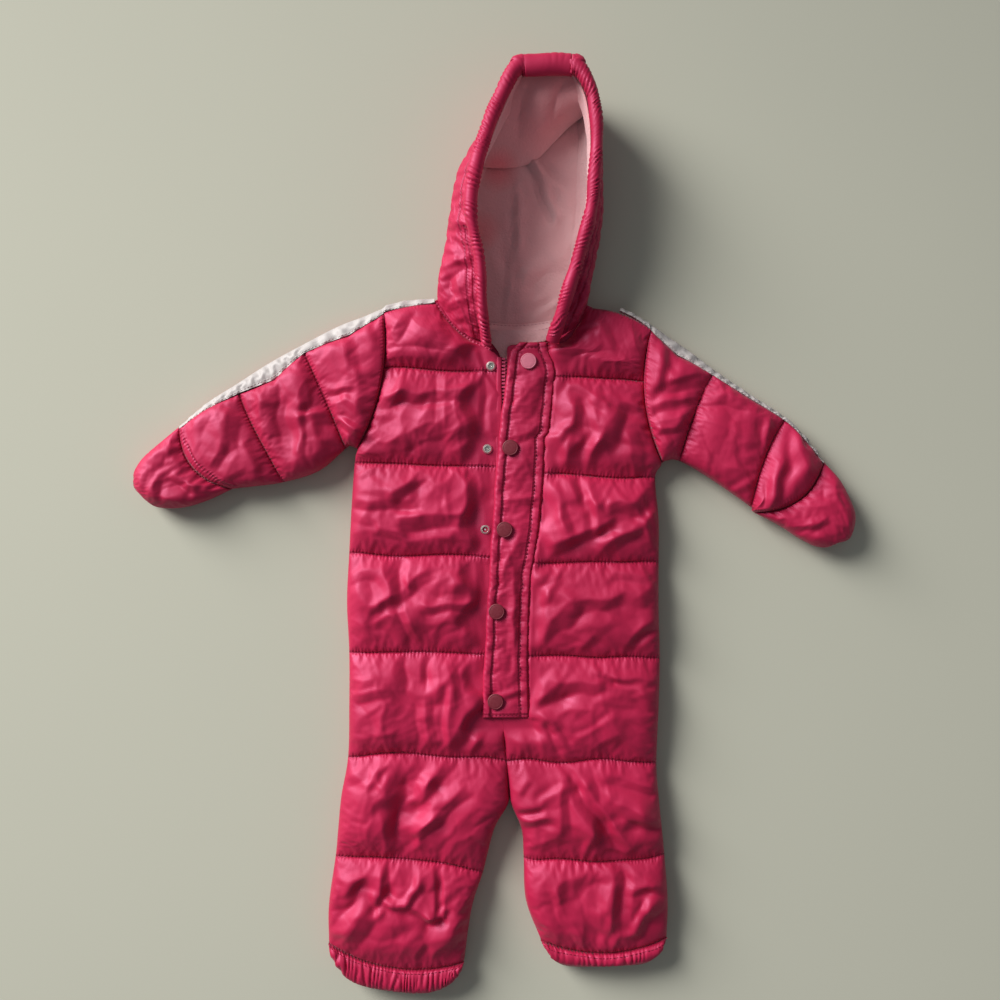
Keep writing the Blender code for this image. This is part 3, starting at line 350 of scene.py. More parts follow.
# Main folds of the front: both ends, height and half width. The cloth rises beside the fold
# towards the upper left and falls on its other side, or the reverse where the height is negative.
FOLDS = (
    (-76, 193, -85, 177, 1.8, 5), (-33, 162, -37, 150, 1.2, 6), (-37, 163, -49, 145, -1.1, 4),
    (-61, 159, -58, 146, 0.8, 5), (-21, 159, -13, 143, 1, 6), (-99, 114, -83, 119, 2.4, 6),
    (-83, 119, -25, 120, 2.6, 6), (-87, 77, -50, 90, 1.8, 7), (-41, 131, -28, 136, 1.2, 6),
    (-24, 115, -21, 64, 2.2, 8), (-47, 138, -47, 125, -1.2, 4), (-47, 112, -48, 96, -1, 4),
    (-61, 82, -55, 62, 1.2, 7), (-14, 141, -13, 127, -0.9, 3.5), (-86, 32, -64, 49, 2, 5),
    (-124, 26, -76, 25, 1.8, 5), (-116, 48, -107, 53, 1, 3), (-76, 9, -18, 11, 2, 6),
    (-101, 0, -81, -4, 1.6, 4), (-97, -12, -83, -12, 1.4, 7), (-82, 16, -67, 18, -1.3, 3.5),
    (-20, 51, -17, -17, 1.6, 6), (-78, -3, -40, 2, -1.1, 4), (-48, -11, -23, -10, 1.4, 8),
    (-91, -28, -85, -50, 2.2, 8), (-79, -24, -79, -51, -1.8, 4), (-76, -52, -58, -38, 1.6, 5),
    (-107, -69, -86, -60, 2, 7), (-104, -73, -83, -66, -1.2, 4), (-96, -81, -78, -87, 1.8, 8),
    (-81, -67, -71, -92, -1.5, 4), (-59, -66, -13, -66, 2, 4), (-56, -50, -30, -45, 1, 7),
    (-48, -90, -34, -78, 1.3, 6), (-125, -42, -107, -37, 1.4, 4), (-122, -85, -109, -94, 1.1, 6),
    (-28, -25, -25, -41, 0.9, 5), (95, 185, 105, 165, 1, 4), (122, 185, 129, 167, 1.1, 4),
    (72, 127, 94, 110, 1.8, 4), (51, 89, 66, 98, -1.4, 4), (75, 110, 72, 95, 1.5, 4),
    (82, 115, 86, 95, -1.3, 4), (110, 103, 99, 77, 2.2, 7), (100, 119, 124, 107, 1.5, 3.5),
    (58, 66, 68, 82, -1.6, 5), (78, 68, 93, 90, -1.2, 6), (71, 77, 68, 54, 1.9, 6),
    (84, 55, 97, 77, 1.5, 5), (124, 82, 128, 55, 1.4, 6), (78, 48, 82, 25, -1.8, 4.5),
    (71, 48, 75, 32, 1.8, 4), (62, 22, 65, 3, 1.3, 4), (86, 25, 87, 1, -1.3, 3), (103, 20, 122, 21, 2, 6),
    (122, 21, 136, 32, 1.8, 6), (47, -17, 67, -8, 2.2, 6), (67, -8, 102, 6, 2.2, 5),
    (93, -6, 123, 10, -1.4, 5), (96, -20, 124, 3, 2.2, 5), (128, 18, 135, 9, 1.2, 2.8),
    (135, 24, 142, 15, 1.2, 2.8), (131, 12, 138, 20, -1.2, 2.6), (136, 1, 143, -10, 1.3, 3),
    (55, -30, 40, -57, -1.3, 3.5), (41, -42, 54, -34, 1.5, 5), (107, -38, 132, -42, 1.6, 4),
    (47, -88, 71, -66, 2, 7), (71, -66, 108, -61, 1.8, 6), (132, -59, 141, -50, 1.3, 6),
    (119, -98, 141, -80, 2, 6), (126, -99, 141, -90, -1.2, 3), (81, -103, 88, -94, 1.3, 4),
    (37, -64, 47, -59, 1.1, 3), (-89, -108, -81, -187, 3, 13), (-50, -108, -55, -133, -1.5, 5),
    (-42, -137, -43, -186, -1.3, 3), (-57, -151, -54, -178, 1.4, 4), (-60, -108, -62, -128, 1.1, 3),
    (-124, -134, -107, -132, 1.5, 4), (-118, -144, -97, -141, 1.4, 4), (-39, -188, -14, -159, 2, 5),
    (-19, -192, -7, -171, 1.3, 4), (-26, -190, -12, -167, -1.1, 4), (-38, -114, -30, -146, 1.1, 5),
    (-29, -121, -16, -107, -1, 3), (-79, -196, -89, -228, 3, 13), (-89, -228, -95, -259, 3.2, 13),
    (-56, -203, -69, -231, -1.5, 5), (-33, -195, -53, -221, 2.2, 5), (-53, -221, -71, -237, 1.8, 5),
    (-26, -228, -58, -259, 2, 5), (-125, -218, -116, -213, 1.1, 4), (-106, -221, -97, -207, 1.4, 4),
    (-105, -226, -96, -215, -1.1, 3), (41, -149, 57, -139, 2, 6), (57, -137, 89, -135, 1.8, 6),
    (43, -157, 81, -146, -1.1, 7), (84, -109, 91, -122, 1.3, 3), (91, -122, 106, -129, 1.3, 3),
    (106, -129, 139, -132, 1.4, 3.5), (106, -133, 130, -134, -0.8, 3), (127, -145, 139, -153, 1.3, 5),
    (73, -177, 102, -160, -0.7, 2.5), (96, -191, 107, -183, 1.6, 7), (39, -162, 53, -172, 1.8, 3.5),
    (53, -172, 63, -183, 1.5, 3.5), (41, -172, 49, -191, 2.2, 5), (53, -196, 65, -213, 2.2, 4),
    (59, -198, 77, -223, -1.8, 4), (77, -223, 101, -258, -2.2, 4), (71, -221, 91, -257, 2, 8),
    (91, -204, 96, -233, -1.3, 4), (101, -216, 139, -228, 1.6, 4), (109, -243, 126, -251, 2, 6),
    (126, -251, 144, -256, 2, 6), (19, -172, 39, -172, 0.9, 5), (25, -229, 30, -221, 1.1, 3),
    (41, -233, 57, -220, -1.1, 3), (25, -251, 41, -245, -1.5, 3), (24, -245, 40, -242, 1.5, 3),
    (24, -256, 46, -253, 1.5, 4), (61, -218, 63, -259, 1.8, 5), (-92, -252, -89, -281, 2.8, 9),
    (-89, -284, -92, -296, 2.2, 7), (-64, -264, -50, -253, 1.8, 5), (-78, -279, -68, -271, -1.1, 3),
    (-62, -275, -49, -268, 1.5, 7), (-47, -285, -47, -336, -1.5, 3), (-50, -287, -50, -337, 1.8, 3.5),
    (-47, -339, -43, -332, 1.7, 3), (-76, -331, -58, -340, 2, 4), (-58, -340, -46, -340, 1.8, 4),
    (-78, -324, -52, -304, 2.2, 6), (-79, -321, -69, -308, -1.3, 4), (-69, -308, -68, -292, -1.1, 4),
    (-94, -325, -78, -326, 2.2, 3.5), (-93, -320, -88, -324, -1.6, 3), (-88, -324, -80, -322, -1.4, 3),
    (-104, -332, -92, -321, -1.6, 3.5), (-96, -300, -95, -317, 2, 4), (-92, -304, -86, -290, -1.5, 4),
    (-103, -324, -97, -317, 1.3, 3), (-135, -348, -110, -315, -1.9, 6), (-139, -326, -115, -312, 2.2, 7),
    (-133, -311, -98, -308, 2.2, 7), (-127, -362, -112, -342, 2.1, 6), (-108, -318, -104, -332, -1.1, 3),
    (-42, -372, -25, -346, 2.6, 8), (-28, -332, -18, -322, 1.5, 4), (-30, -308, -25, -306, 1, 5),
    (-34, -286, -25, -277, 1.3, 8), (-68, -372, -62, -363, 1.2, 3), (61, -316, 89, -300, 2, 9),
    (51, -318, 76, -364, -1.1, 4), (65, -320, 79, -357, 1.6, 9), (97, -308, 93, -328, -1.1, 4),
    (117, -302, 116, -348, -1.3, 4), (107, -294, 109, -348, 1.8, 6), (111, -290, 135, -312, 1.5, 4),
    (125, -314, 146, -314, 1.8, 4), (141, -319, 133, -328, -1.6, 4), (133, -328, 120, -347, -1.5, 4),
    (142, -329, 121, -354, 2.2, 6), (107, -352, 105, -361, -1.5, 4), (92, -257, 98, -281, 2.4, 7),
    (97, -253, 115, -280, -1.8, 5), (101, -279, 115, -284, 1.8, 3), (79, -271, 77, -281, -1.1, 3),
    (81, -281, 88, -267, 1.5, 5), (45, -278, 56, -271, 1.1, 5), (87, -335, 99, -346, 1.1, 6),
    (82, -361, 83, -344, 1.1, 6), (118, -257, 145, -255, 1.6, 5), (137, 121, 160, 128, 2, 6),
    (160, 128, 193, 139, 1.8, 6), (145, 119, 172, 129, -1.2, 5), (140, 108, 178, 116, 1.6, 4),
    (140, 101, 177, 112, -1.1, 4), (151, 158, 146, 133, 2, 5), (147, 88, 164, 93, 1.2, 3),
    (187, 117, 218, 114, 1.5, 5), (213, 109, 227, 98, 1.2, 9), (247, 95, 243, 69, 2, 5),
    (240, 92, 238, 72, -1.5, 5), (257, 96, 248, 30, 1.6, 4), (263, 86, 267, 57, -1.6, 6),
    (267, 57, 261, 36, -1.4, 6), (243, 65, 240, 25, -1.1, 2.5), (237, 63, 235, 26, 1.3, 3),
    (210, 38, 231, 51, -0.9, 2.5), (204, 53, 224, 39, 1.2, 6), (261, 2, 278, 6, 1.3, 3),
    (281, 3, 291, 10, 1.1, 3), (288, 53, 284, 35, 1.2, 5), (-199, 120, -194, 79, 2.6, 9),
    (-177, 113, -174, 72, -1.5, 5), (-170, 110, -169, 72, 1.3, 4), (-157, 135, -169, 115, 1.8, 7),
    (-171, 105, -149, 111, -1.3, 3), (-150, 99, -139, 100, 2.2, 6), (-127, 167, -122, 148, 1.3, 5),
    (-110, 176, -103, 167, 1.3, 4), (-145, 118, -133, 119, -1.2, 3.5), (-133, 119, -120, 105, -1.2, 3.5),
    (-144, 124, -127, 125, 1.1, 3), (-139, 97, -114, 84, 1.7, 3), (-138, 102, -114, 90, -1.5, 3),
    (-141, 82, -125, 76, 1.8, 6), (-216, 79, -205, 60, 2, 5), (-219, 105, -210, 94, 1.8, 6),
    (-235, 113, -219, 109, 1.1, 3), (-229, 104, -229, 76, 1.2, 5), (-237, 76, -244, 61, 1.2, 4),
    (-254, 104, -259, 91, 0.9, 6), (-278, 90, -281, 72, 2, 6), (-281, 72, -274, 63, 1.6, 5),
    (-304, 69, -290, 80, -0.9, 4), (-294, 44, -296, 32, 1.1, 3), (-282, 49, -267, 38, 1.7, 4),
    (-267, 38, -241, 36, 1.5, 4),
)

# Low folds of the part that is pressed under and beside the flap, as in FOLDS.
PLACKET_FOLDS = (
    (-14, 160, -9, 142, 0.9, 2.2), (-9, 142, 3, 125, 0.9, 2.2), (-13, 138, -11, 104, 0.9, 4),
    (-5, 118, -6, 92, -0.8, 3), (-14, 92, -4, 84, 0.9, 3.5), (-9, 66, -8, 30, 0.9, 4),
    (-13, 20, -9, -8, -0.9, 4), (-12, -30, -12, -62, 1.0, 4), (-15, -80, -12, -120, 1.0, 4.5),
    (62, 150, 58, 112, 0.8, 4), (54, 84, 52, 56, 0.9, 4), (48, 40, 47, 8, -0.9, 4),
    (42, -10, 40, -44, 1.0, 4), (37, -66, 36, -98, 1.0, 4), (36, -120, 34, -150, -0.9, 4),
)

LINE_SWAY = 1.0          # how far a quilted line wanders from its course
LINE_HOLD = 18.0         # and how far from its ends it does so in full
FOLD_LIMIT = 5.5
# Crumpled facets: wave length, turn and depth; a depth below 0 creases inwards.
CRUMPLES = ((85, 30, 1.2), (58, 100, -0.8), (38, 60, 0.3))
FOLD_SHARE = 1.1         # of the heights in FOLDS
CREST_AT = 0.95          # from a fold's middle to its crest, in half widths
FOLD_REACH = 3.2         # and to its foot

# Folds of the hood's outside and of its lining, as in FOLDS.
HOOD_FOLDS = (
    (-46, 215, -20, 170, 2.4, 6), (-37, 216, -24, 182, -1.6, 5), (-40, 229, -24, 233, 1.6, 5),
    (-33, 262, -22, 238, -1.4, 7), (-37, 268, -24, 262, 1.2, 5), (-30, 205, -16, 176, 1.4, 4),
    (-36, 249, -30, 240, 1.2, 4), (-27, 290, -22, 270, -1.0, 5), (78, 215, 70, 190, -1.8, 4),
    (86, 210, 76, 184, 1.6, 4), (90, 262, 82, 226, 1.6, 6), (68, 206, 62, 186, 1.2, 4),
)
LINING_FOLDS = (
    (32, 331, 53, 281, -3.4, 3.2), (37, 331, 60, 309, -2.2, 3.0), (18, 313, 18, 287, -1.2, 2.2),
    (18, 287, 19, 256, -1.4, 2.5), (13, 242, 8, 185, -1.0, 2.2), (35, 194, 52, 206, -2.0, 3.2),
    (30, 226, 58, 238, 1.2, 6), (42, 240, 30, 215, 1.2, 7), (2, 260, 6, 235, 1.0, 6),
    (24, 300, 30, 250, 0.9, 7), (60, 300, 66, 262, -1.0, 4),
)
NOTCH_PITCH = 3.1        # from stitch to stitch
NOTCH_DEPTH = 0.4        # of the pucker that a stitch pulls beside its line
STITCH_REACH = 12.0      # how far from a stitched line the cloth knows of it
STEP = 1.7               # spacing of the cloth's points
BACK_STEP = 3.6
# The cloth settles on every fourth point, every second and then every one, for so many rounds.
LEVELS = (4, 2, 1)
ROUNDS = ((220, 160, 130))


# ---------------------------------------------------------------- shapes of the panels

def spline_weights(positions, count):
    """Weights of the points of a smooth curve at fractional positions along it."""
    weights = np.zeros((len(positions), count))
    last = count - 1
    for row, position in enumerate(positions):
        index = min(int(position), last - 1)
        share = position - index
        square = share ** 2
        cube = share ** 3
        weights[row, index] += 2 * cube - 3 * square + 1
        weights[row, index + 1] += 3 * square - 2 * cube
        slope_start = cube - 2 * square + share
        slope_end = cube - square
        if index == 0:
            weights[row, index + 1] += slope_start
            weights[row, index] -= slope_start
        else:
            weights[row, index + 1] += slope_start / 2
            weights[row, index - 1] -= slope_start / 2
        if index == last - 1:
            weights[row, index + 1] += slope_end
            weights[row, index] -= slope_end
        else:
            weights[row, index + 2] += slope_end / 2
            weights[row, index] -= slope_end / 2
    return weights


def linear_rows(values, positions):
    """Values of a table's rows at fractional positions."""
    return np.interp(positions, np.arange(len(values)), values)


def falling_table(table, keys, column):
    """A column of a table whose first column falls from row to row, at each key."""
    rows = np.array(table, float)[::-1]
    return np.interp(keys, rows[:, 0], rows[:, column])


def quarter_round(share):
    """A rounded shoulder that climbs from 0 at 0 to 1 at 1."""
    inside = 1 - np.clip(share, 0, 1)
    return np.sqrt(1 - inside * inside)


def ease(share):
    share = np.clip(share, 0, 1)
    return share * share * (3 - 2 * share)


def puff_shape(share):
    """Swell of a channel from its stitches, at 0 and 1, to its middle."""
    off = np.abs(2 * share - 1)
    return (1 - np.minimum(off, 1) ** PUFF_SQUARENESS) ** PUFF_STEEPNESS


def armhole_x(armhole, y):
    """Where the bowed armhole crosses a height y, by a few rounds of correction."""
    chord = Vector((armhole.bottom_x - armhole.top_x, armhole.bottom_y - armhole.top_y))
    normal = Vector((-chord.y, chord.x)).normalized()
    share = 0.0
    for _step in range(6):
        bulge = armhole.bow * 4 * share * (1 - share)
        share = (y - armhole.top_y - normal.y * bulge) / chord.y
    return armhole.top_x + chord.x * share + normal.x * armhole.bow * 4 * share * (1 - share)


def centre_x(y, side):
    """Edge of a front at the centre line: side is -1 for the wearer's right."""
    return falling_table(CENTRE_FRONT, y, 1) + side * falling_table(CENTRE_FRONT, y, 2)


class Panel:
    """A quilted panel as a fine grid in plan, with its rows on the stitched lines.

    plan holds the points, position each row's place in the table, share its place in
    its channel, and seams the grid rows that are stitched.
    """

    def __init__(self, rows, step, lines=None, starts=None):
        lines = lines or {}
        marks = [(row.left_x, row.right_x) for row in rows]
        solved = []
        for row in rows:
            left_x = lines[row.left_x](row.left_y) if row.left_x in lines else row.left_x
            right_x = lines[row.right_x](row.right_y) if row.right_x in lines else row.right_x
            solved.append(row._replace(left_x=float(left_x), right_x=float(right_x)))
        self.rows = solved
        middles = np.array([((r.left_x + r.right_x) / 2, (r.left_y + r.right_y) / 2) for r in solved])
        stitched = [index for index, row in enumerate(rows) if row.stitched]
        positions, shares, self.seams = [], [], []
        for first, last in zip(stitched, stitched[1:]):
            lengths = run_lengths(middles[first:last + 1])
            cells = 4 * max(1, round(lengths[-1] / (4 * step)))
            part = np.arange(cells) / cells
            self.seams.append(len(positions))
            positions.extend(np.interp(part * lengths[-1], lengths, np.arange(first, last + 1)))
            shares.extend(part)
        self.seams.append(len(positions))
        positions.append(float(stitched[-1]))
        shares.append(1.0)
        self.position = np.array(positions)
        self.share = np.array(shares)
        outline = np.array([(r.left_x, r.left_y, r.right_x, r.right_y, r.bow) for r in solved])
        ends = spline_weights(self.position, len(rows)) @ outline
        for index, position in enumerate(self.position):
            place = min(int(position), len(rows) - 2)
            (left, right), (next_left, next_right) = marks[place:place + 2]
            if left == next_left and left in lines:
                ends[index, 0] = lines[left](ends[index, 1])
            if right == next_right and right in lines:
                ends[index, 2] = lines[right](ends[index, 3])
        start = linear_rows(starts or [0.0] * len(rows), self.position)[:, None]
        chord = ends[:, 2:4] - ends[:, 0:2]
        length = np.linalg.norm(chord, axis=1)
        normal = np.stack([-chord[:, 1], chord[:, 0]], axis=1) / length[:, None]
        self.ends, self.chord, self.length, self.normal = ends, chord, length, normal
        self.width = length * (1 - start[:, 0])
        cells = 4 * max(1, round(self.width.max() / (4 * step)))
        self.u = np.arange(cells + 1) / cells
        share = start + (1 - start) * self.u[None, :]
        bulge = ends[:, 4][:, None] * 4 * share * (1 - share)
        self.plan = (
            ends[:, None, 0:2] + chord[:, None, :] * share[..., None]
            + normal[:, None, :] * bulge[..., None]
        )
        inward = np.minimum(share, 1 - share) * length[:, None] / LINE_HOLD
        sway = LINE_SWAY * ripples(self.plan[..., 0], self.plan[..., 1], 75, 0, 40, len(rows), 8)
        ends_still = np.minimum(np.minimum(self.position, len(rows) - 1 - self.position) * 2, 1)
        self.plan[..., 1] += sway * np.clip(inward, 0, 1) * ends_still[:, None]
        self.left_edge = linear_rows([r.left_edge for r in solved], self.position)
        self.right_edge = linear_rows([r.right_edge for r in solved], self.position)

    def wall(self, full, roll):
        """A wall that falls from its full thickness to each edge's own."""
        walls = []
        for edge, share in ((self.left_edge, self.u), (self.right_edge, 1 - self.u)):
            thin = np.minimum(edge[:, None], full)
            off = share[None, :] * self.width[:, None] / roll
            walls.append(thin + (full - thin) * quarter_round(off))
        return np.minimum(*walls)


def crest(across):
    """Section of a crisp fold: one steep flank between a crest and a valley, then long slopes."""
    flank = np.clip(across / CREST_AT, -1, 1)
    tail = np.clip((FOLD_REACH - np.abs(across)) / (FOLD_REACH - CREST_AT), 0, 1)
    return flank * tail ** 1.3


def fold_height(plan, folds=FOLDS):
    """Rise and fall of the cloth beside its main folds."""
    height = np.zeros(plan.shape[:2])
    wander = ripples(plan[..., 0], plan[..., 1], 34, 45, 90, 5, 8)
    for x1, y1, x2, y2, rise, half in folds:
        run = np.array((x2 - x1, y2 - y1), float)
        length = np.linalg.norm(run)
        normal = np.array((-run[1], run[0])) / length
        if normal[1] < normal[0]:
            normal = -normal
        off = plan - (x1, y1)
        along = off @ run / length
        across = (off @ normal) / half + 0.22 * wander
        beyond = np.maximum(np.maximum(-along, along - length), 0) / (1.1 * half)
        height += rise * crest(across) * np.exp(-beyond * beyond)
    return np.clip(height, -FOLD_LIMIT, FOLD_LIMIT)


def small_creases(plan, seed, pitch=17.0, rise=0.26):
    """Short random creases, about one in each square of the pitch, as rows like those of FOLDS."""
    random = np.random.default_rng(seed)
    low, high = plan.reshape(-1, 2).min(0), plan.reshape(-1, 2).max(0)
    count = int((high - low).prod() / pitch ** 2)
    spots = random.uniform(low, high, (count, 2))
    turns = random.uniform(0, math.pi, count)
    lengths = random.uniform(6, 26, count)
    heights = rise * random.uniform(0.4, 1.6, count) * random.choice((-1, 1), count)
    halves = random.uniform(1.8, 4.5, count)
    runs = 0.5 * lengths[:, None] * np.stack([np.cos(turns), np.sin(turns)], axis=1)
    return np.column_stack([spots - runs, spots + runs, heights, halves])


def placket_share(plan):
    """1 where the fronts are pressed under and beside the flap, falling to 0 around it."""
    x, y = plan[..., 0], plan[..., 1]
    x = x + 3.5 * ripples(x, y, 40, 90, 25, 17, 8)
    below = ease((FLAP[-1][0] - PRESSED_BELOW - y) / PLACKET_FADE)
    left_out = ease((PRESSED_LEFT - x) / PLACKET_FADE)
    right_out = ease((x - falling_table(FLAP, y, 2) - PRESSED_RIGHT) / PLACKET_FADE)
    return (1 - left_out) * (1 - right_out) * (1 - below)


def plan_grid(x, y):
    """Points in plan from a grid of x and each row's y."""
    return np.stack([x, np.broadcast_to(y[:, None], x.shape)], axis=2)


def with_height(plan, height):
    """Points in plan with a height, or a grid of heights, added."""
    return np.concatenate([plan, np.broadcast_to(height, plan.shape[:2])[..., None]], axis=2)


# ---------------------------------------------------------------- cloth that settles

def grid_normals(points):
    """The surface's direction at each point of a grid."""
    down = np.gradient(points, axis=0)
    across = np.gradient(points, axis=1)
    normals = np.cross(down, across)
    return normals / np.maximum(np.linalg.norm(normals, axis=2), 1e-9)[..., None]


def upward_normals(points):
    """The direction of a surface that faces up on the whole."""
    normals = grid_normals(points)
    return normals if normals[..., 2].mean() > 0 else -normals


def run_lengths(points, axis=0):
    """Distance of each point from the start of its line of points, in mm."""
    steps = np.linalg.norm(np.diff(points, axis=axis), axis=-1)
    start = np.zeros_like(steps.take([0], axis=axis))
    return np.concatenate([start, np.cumsum(steps, axis=axis)], axis=axis)


def arc_places(points):
    """Distances across a grid from its middle, and down it, in mm."""
    u = run_lengths(points, 1)
    return u - u.mean(axis=1, keepdims=True), run_lengths(points)


def free_inside(shape, held=()):
    """1 where cloth may move, 0 along the sides of its grid and on its held rows."""
    free = np.ones(shape)
    free[0] = free[-1] = 0
    free[:, 0] = free[:, -1] = 0
    free[list(held)] = 0
    return free


def ripples(u, v, length, turn, spread, seed, count=16):
    """A random field of waves; turn 0 gives crests that run down the grid."""
    random = np.random.default_rng(seed)
    total = np.zeros_like(u)
    for _wave in range(count):
        angle = math.radians(turn + random.normal(0, spread))
        pace = 2 * math.pi / (length * random.uniform(0.7, 1.4))
        phase = random.uniform(0, 2 * math.pi)
        total += np.cos(pace * (u * math.cos(angle) + v * math.sin(angle)) + phase)
    return total / math.sqrt(count / 2)


def puckers(along, pitch, drift):
    """Rounded lobes with thin creases between them, about 0 on average."""
    return np.abs(np.sin(math.pi * along / pitch + drift)) ** 0.6 - 0.72


def crumple(u, v, seed):
    """Flat facets that meet in crisp, winding creases."""
    total = np.zeros_like(u)
    for index, (length, turn, depth) in enumerate(CRUMPLES):
        wave = ripples(u, v, length, turn, 60, seed + 20 + index, 7)
        total += depth * (0.8 - np.abs(wave))
    return total


def enlarge(field, shape):
    """A coarse grid's values at a finer grid's points, along smooth curves."""
    rows = spline_weights(np.linspace(0, field.shape[0] - 1, shape[0]), field.shape[0])
    cols = spline_weights(np.linspace(0, field.shape[1] - 1, shape[1]), field.shape[1])
    return np.einsum("ri,ijk,cj->rck", rows, field, cols, optimize=True)


def links(points, slack_u, slack_v, free, bend):
    """Pairs of points that cloth keeps apart: slices, rest lengths and weights."""
    rows, cols = points.shape[:2]
    made = []
    steps = [(0, 1, 1.0), (1, 0, 1.0), (1, 1, 0.5), (1, -1, 0.5), (0, 2, bend), (2, 0, bend)]
    for down, across, stiff in steps:
        span = max(down, abs(across))
        for offset in range(2 * span):
            if down:
                a_rows, b_rows = slice(offset, rows - down, 2 * span), slice(offset + down, rows, 2 * span)
                if across < 0:
                    a_cols, b_cols = slice(1, cols), slice(0, cols - 1)
                else:
                    a_cols, b_cols = slice(0, cols - across), slice(across, cols)
            else:
                a_rows = b_rows = slice(0, rows)
                a_cols = slice(offset, cols - across, 2 * span)
                b_cols = slice(offset + across, cols, 2 * span)
            a, b = (a_rows, a_cols), (b_rows, b_cols)
            if not points[a].size:
                continue
            share = abs(across) / (down + abs(across))
            slack = slack_u[a] * share + slack_v[a] * (1 - share)
            rest = np.linalg.norm(points[b] - points[a], axis=2) * (1 + slack)
            total = np.maximum(free[a] + free[b], 1e-6)
            made.append((a, b, rest, stiff * free[a] / total, stiff * free[b] / total))
    return made


# Waves that start the wrinkles at each level: length, turn, spread of the turn and height.
WAVES = ((44, 35, 60, 0.6), (18, 20, 50, 0.1), (6.5, 0, 16, 0.35))
RETURN = 0.012           # share by which loose cloth goes back to its target in a round


def settle(target, slack_u, slack_v, free, seed, rise=1.6, fall=2.4, lower=None, waves=WAVES,
           near=0.0, bend=0.3):
    """Cloth of a larger cut than its target surface, settled in folds upon it.

    The folds form on a coarse grid and finer grids round them. The last grid adds puckers
    where near is 1. free is 0 where the cloth is stitched down, and rise and fall are how
    far the cloth may lie from the target.
    """
    offset = None
    shape = target.shape[:2]
    slack_u, slack_v, near, rise, fall = (
        np.broadcast_to(field, shape) for field in (slack_u, slack_v, near, rise, fall)
    )
    for level, stride in enumerate(LEVELS):
        cut = (slice(None, None, stride), slice(None, None, stride))
        base = target[cut].astype(np.float64)
        normal = grid_normals(base)
        loose = free[cut][..., None]
        length, turn, spread, height = waves[level]
        u, v = arc_places(base)
        bumps = ripples(u, v, length, turn, spread, seed + level) * height
        if stride == 1:
            bumps = bumps * near[cut]
        seeded = normal * bumps[..., None] * loose
        offset = seeded if offset is None else enlarge(offset, base.shape) + seeded
        points = base + offset
        pairs = links(base, slack_u[cut], slack_v[cut], free[cut], bend)
        top, bottom = rise[cut][..., None], -fall[cut][..., None]
        pull = loose * RETURN
        for _round in range(ROUNDS[level]):
            for a, b, rest, weight_a, weight_b in pairs:
                apart = points[b] - points[a]
                length_now = np.sqrt(np.einsum("ijk,ijk->ij", apart, apart)) + 1e-9
                move = apart * ((length_now - rest) / length_now)[..., None]
                points[a] += move * weight_a[..., None]
                points[b] -= move * weight_b[..., None]
            height_now = np.einsum("ijk,ijk->ij", points - base, normal)[..., None]
            over = np.maximum(height_now - top, 0) - np.maximum(bottom - height_now, 0)
            points -= normal * loose * 0.5 * over
            points += (base - points) * pull
            if lower is not None:
                points[..., 2] = np.maximum(points[..., 2], lower[cut])
        offset = points - base
    return target + offset


def edge_distance(points):
    """Distance of each point from the nearest side of its grid, in mm."""
    from_left = run_lengths(points, 1)
    return np.minimum(from_left, from_left[:, -1:] - from_left)


def seam_distance(points, seams):
    """Distance of each point from the nearest stitched row, down its column, in mm."""
    place = run_lengths(points)
    return np.min([np.abs(place - place[row]) for row in seams], axis=0)


def quilted(panel, target, seed, lower, pressed=None, gather=0.05, loose=0.007, along=0.006,
            waves=WAVES):
    """The wrinkled outer surface of a quilted panel."""
    to_seam = seam_distance(target, panel.seams)
    to_edge = edge_distance(target)
    u, v = arc_places(target)
    uneven = 1 + 0.45 * ripples(u, v, 60, 40, 60, seed + 200, 8)
    close = np.exp(-to_seam / 6)
    slack_u = (loose + gather * close) * np.clip(uneven, 0.2, 2)
    slack_v = (along + 0.04 * np.exp(-to_edge / 8)) * np.clip(2 - uneven, 0.2, 2)
    free = free_inside(target.shape[:2], panel.seams)
    calm = np.zeros(free.shape) if pressed is None else pressed
    slack_u *= 1 - 0.85 * calm
    slack_v *= 1 - 0.85 * calm
    return settle(target, slack_u, slack_v, free, seed, rise=1.7 - 1.5 * calm, fall=2.4 - 2.0 * calm,
                  lower=lower, waves=waves, near=close * np.clip(uneven, 0.2, 1.6))


def stitch_marks(panel, surface):
    """How near each point is to a stitched row, and its place along it in mm."""
    near = np.clip(1 - seam_distance(surface, panel.seams) / STITCH_REACH, 0, 1)
    run, _down = arc_places(surface)
    return near, run


# ---------------------------------------------------------------- meshes

CLOTH_CORNER = 70        # angle in degrees beyond which a piece's edge is sharp
TURNED_CORNER = 35


def link_object(name, data):
    """An object of that data, in the scene."""
    made = bpy.data.objects.new(name, data)
    bpy.context.scene.collection.objects.link(made)
    return made


def add_piece(mesh, material, nodes=()):
    """A piece of the garment that stands for the named solids."""
    mesh.materials.append(material)
    piece = link_object(mesh.name, mesh)
    if nodes:
        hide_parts(*nodes)
    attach(piece, BODY)
    return piece


def signed_volume(verts, faces):
    p0, p1, p2, p3 = (verts[faces[:, k]] for k in range(4))
    first = np.einsum("ij,ij->i", p0, np.cross(p1, p2))
    second = np.einsum("ij,ij->i", p0, np.cross(p2, p3))
    return (first + second).sum() / 6


def plain_mesh(name, verts, faces):
    """A mesh of flat faces from points in mm."""
    mesh = bpy.data.meshes.new(name)
    mesh.from_pydata((np.array(verts, float) * MM).tolist(), [], faces)
    return mesh


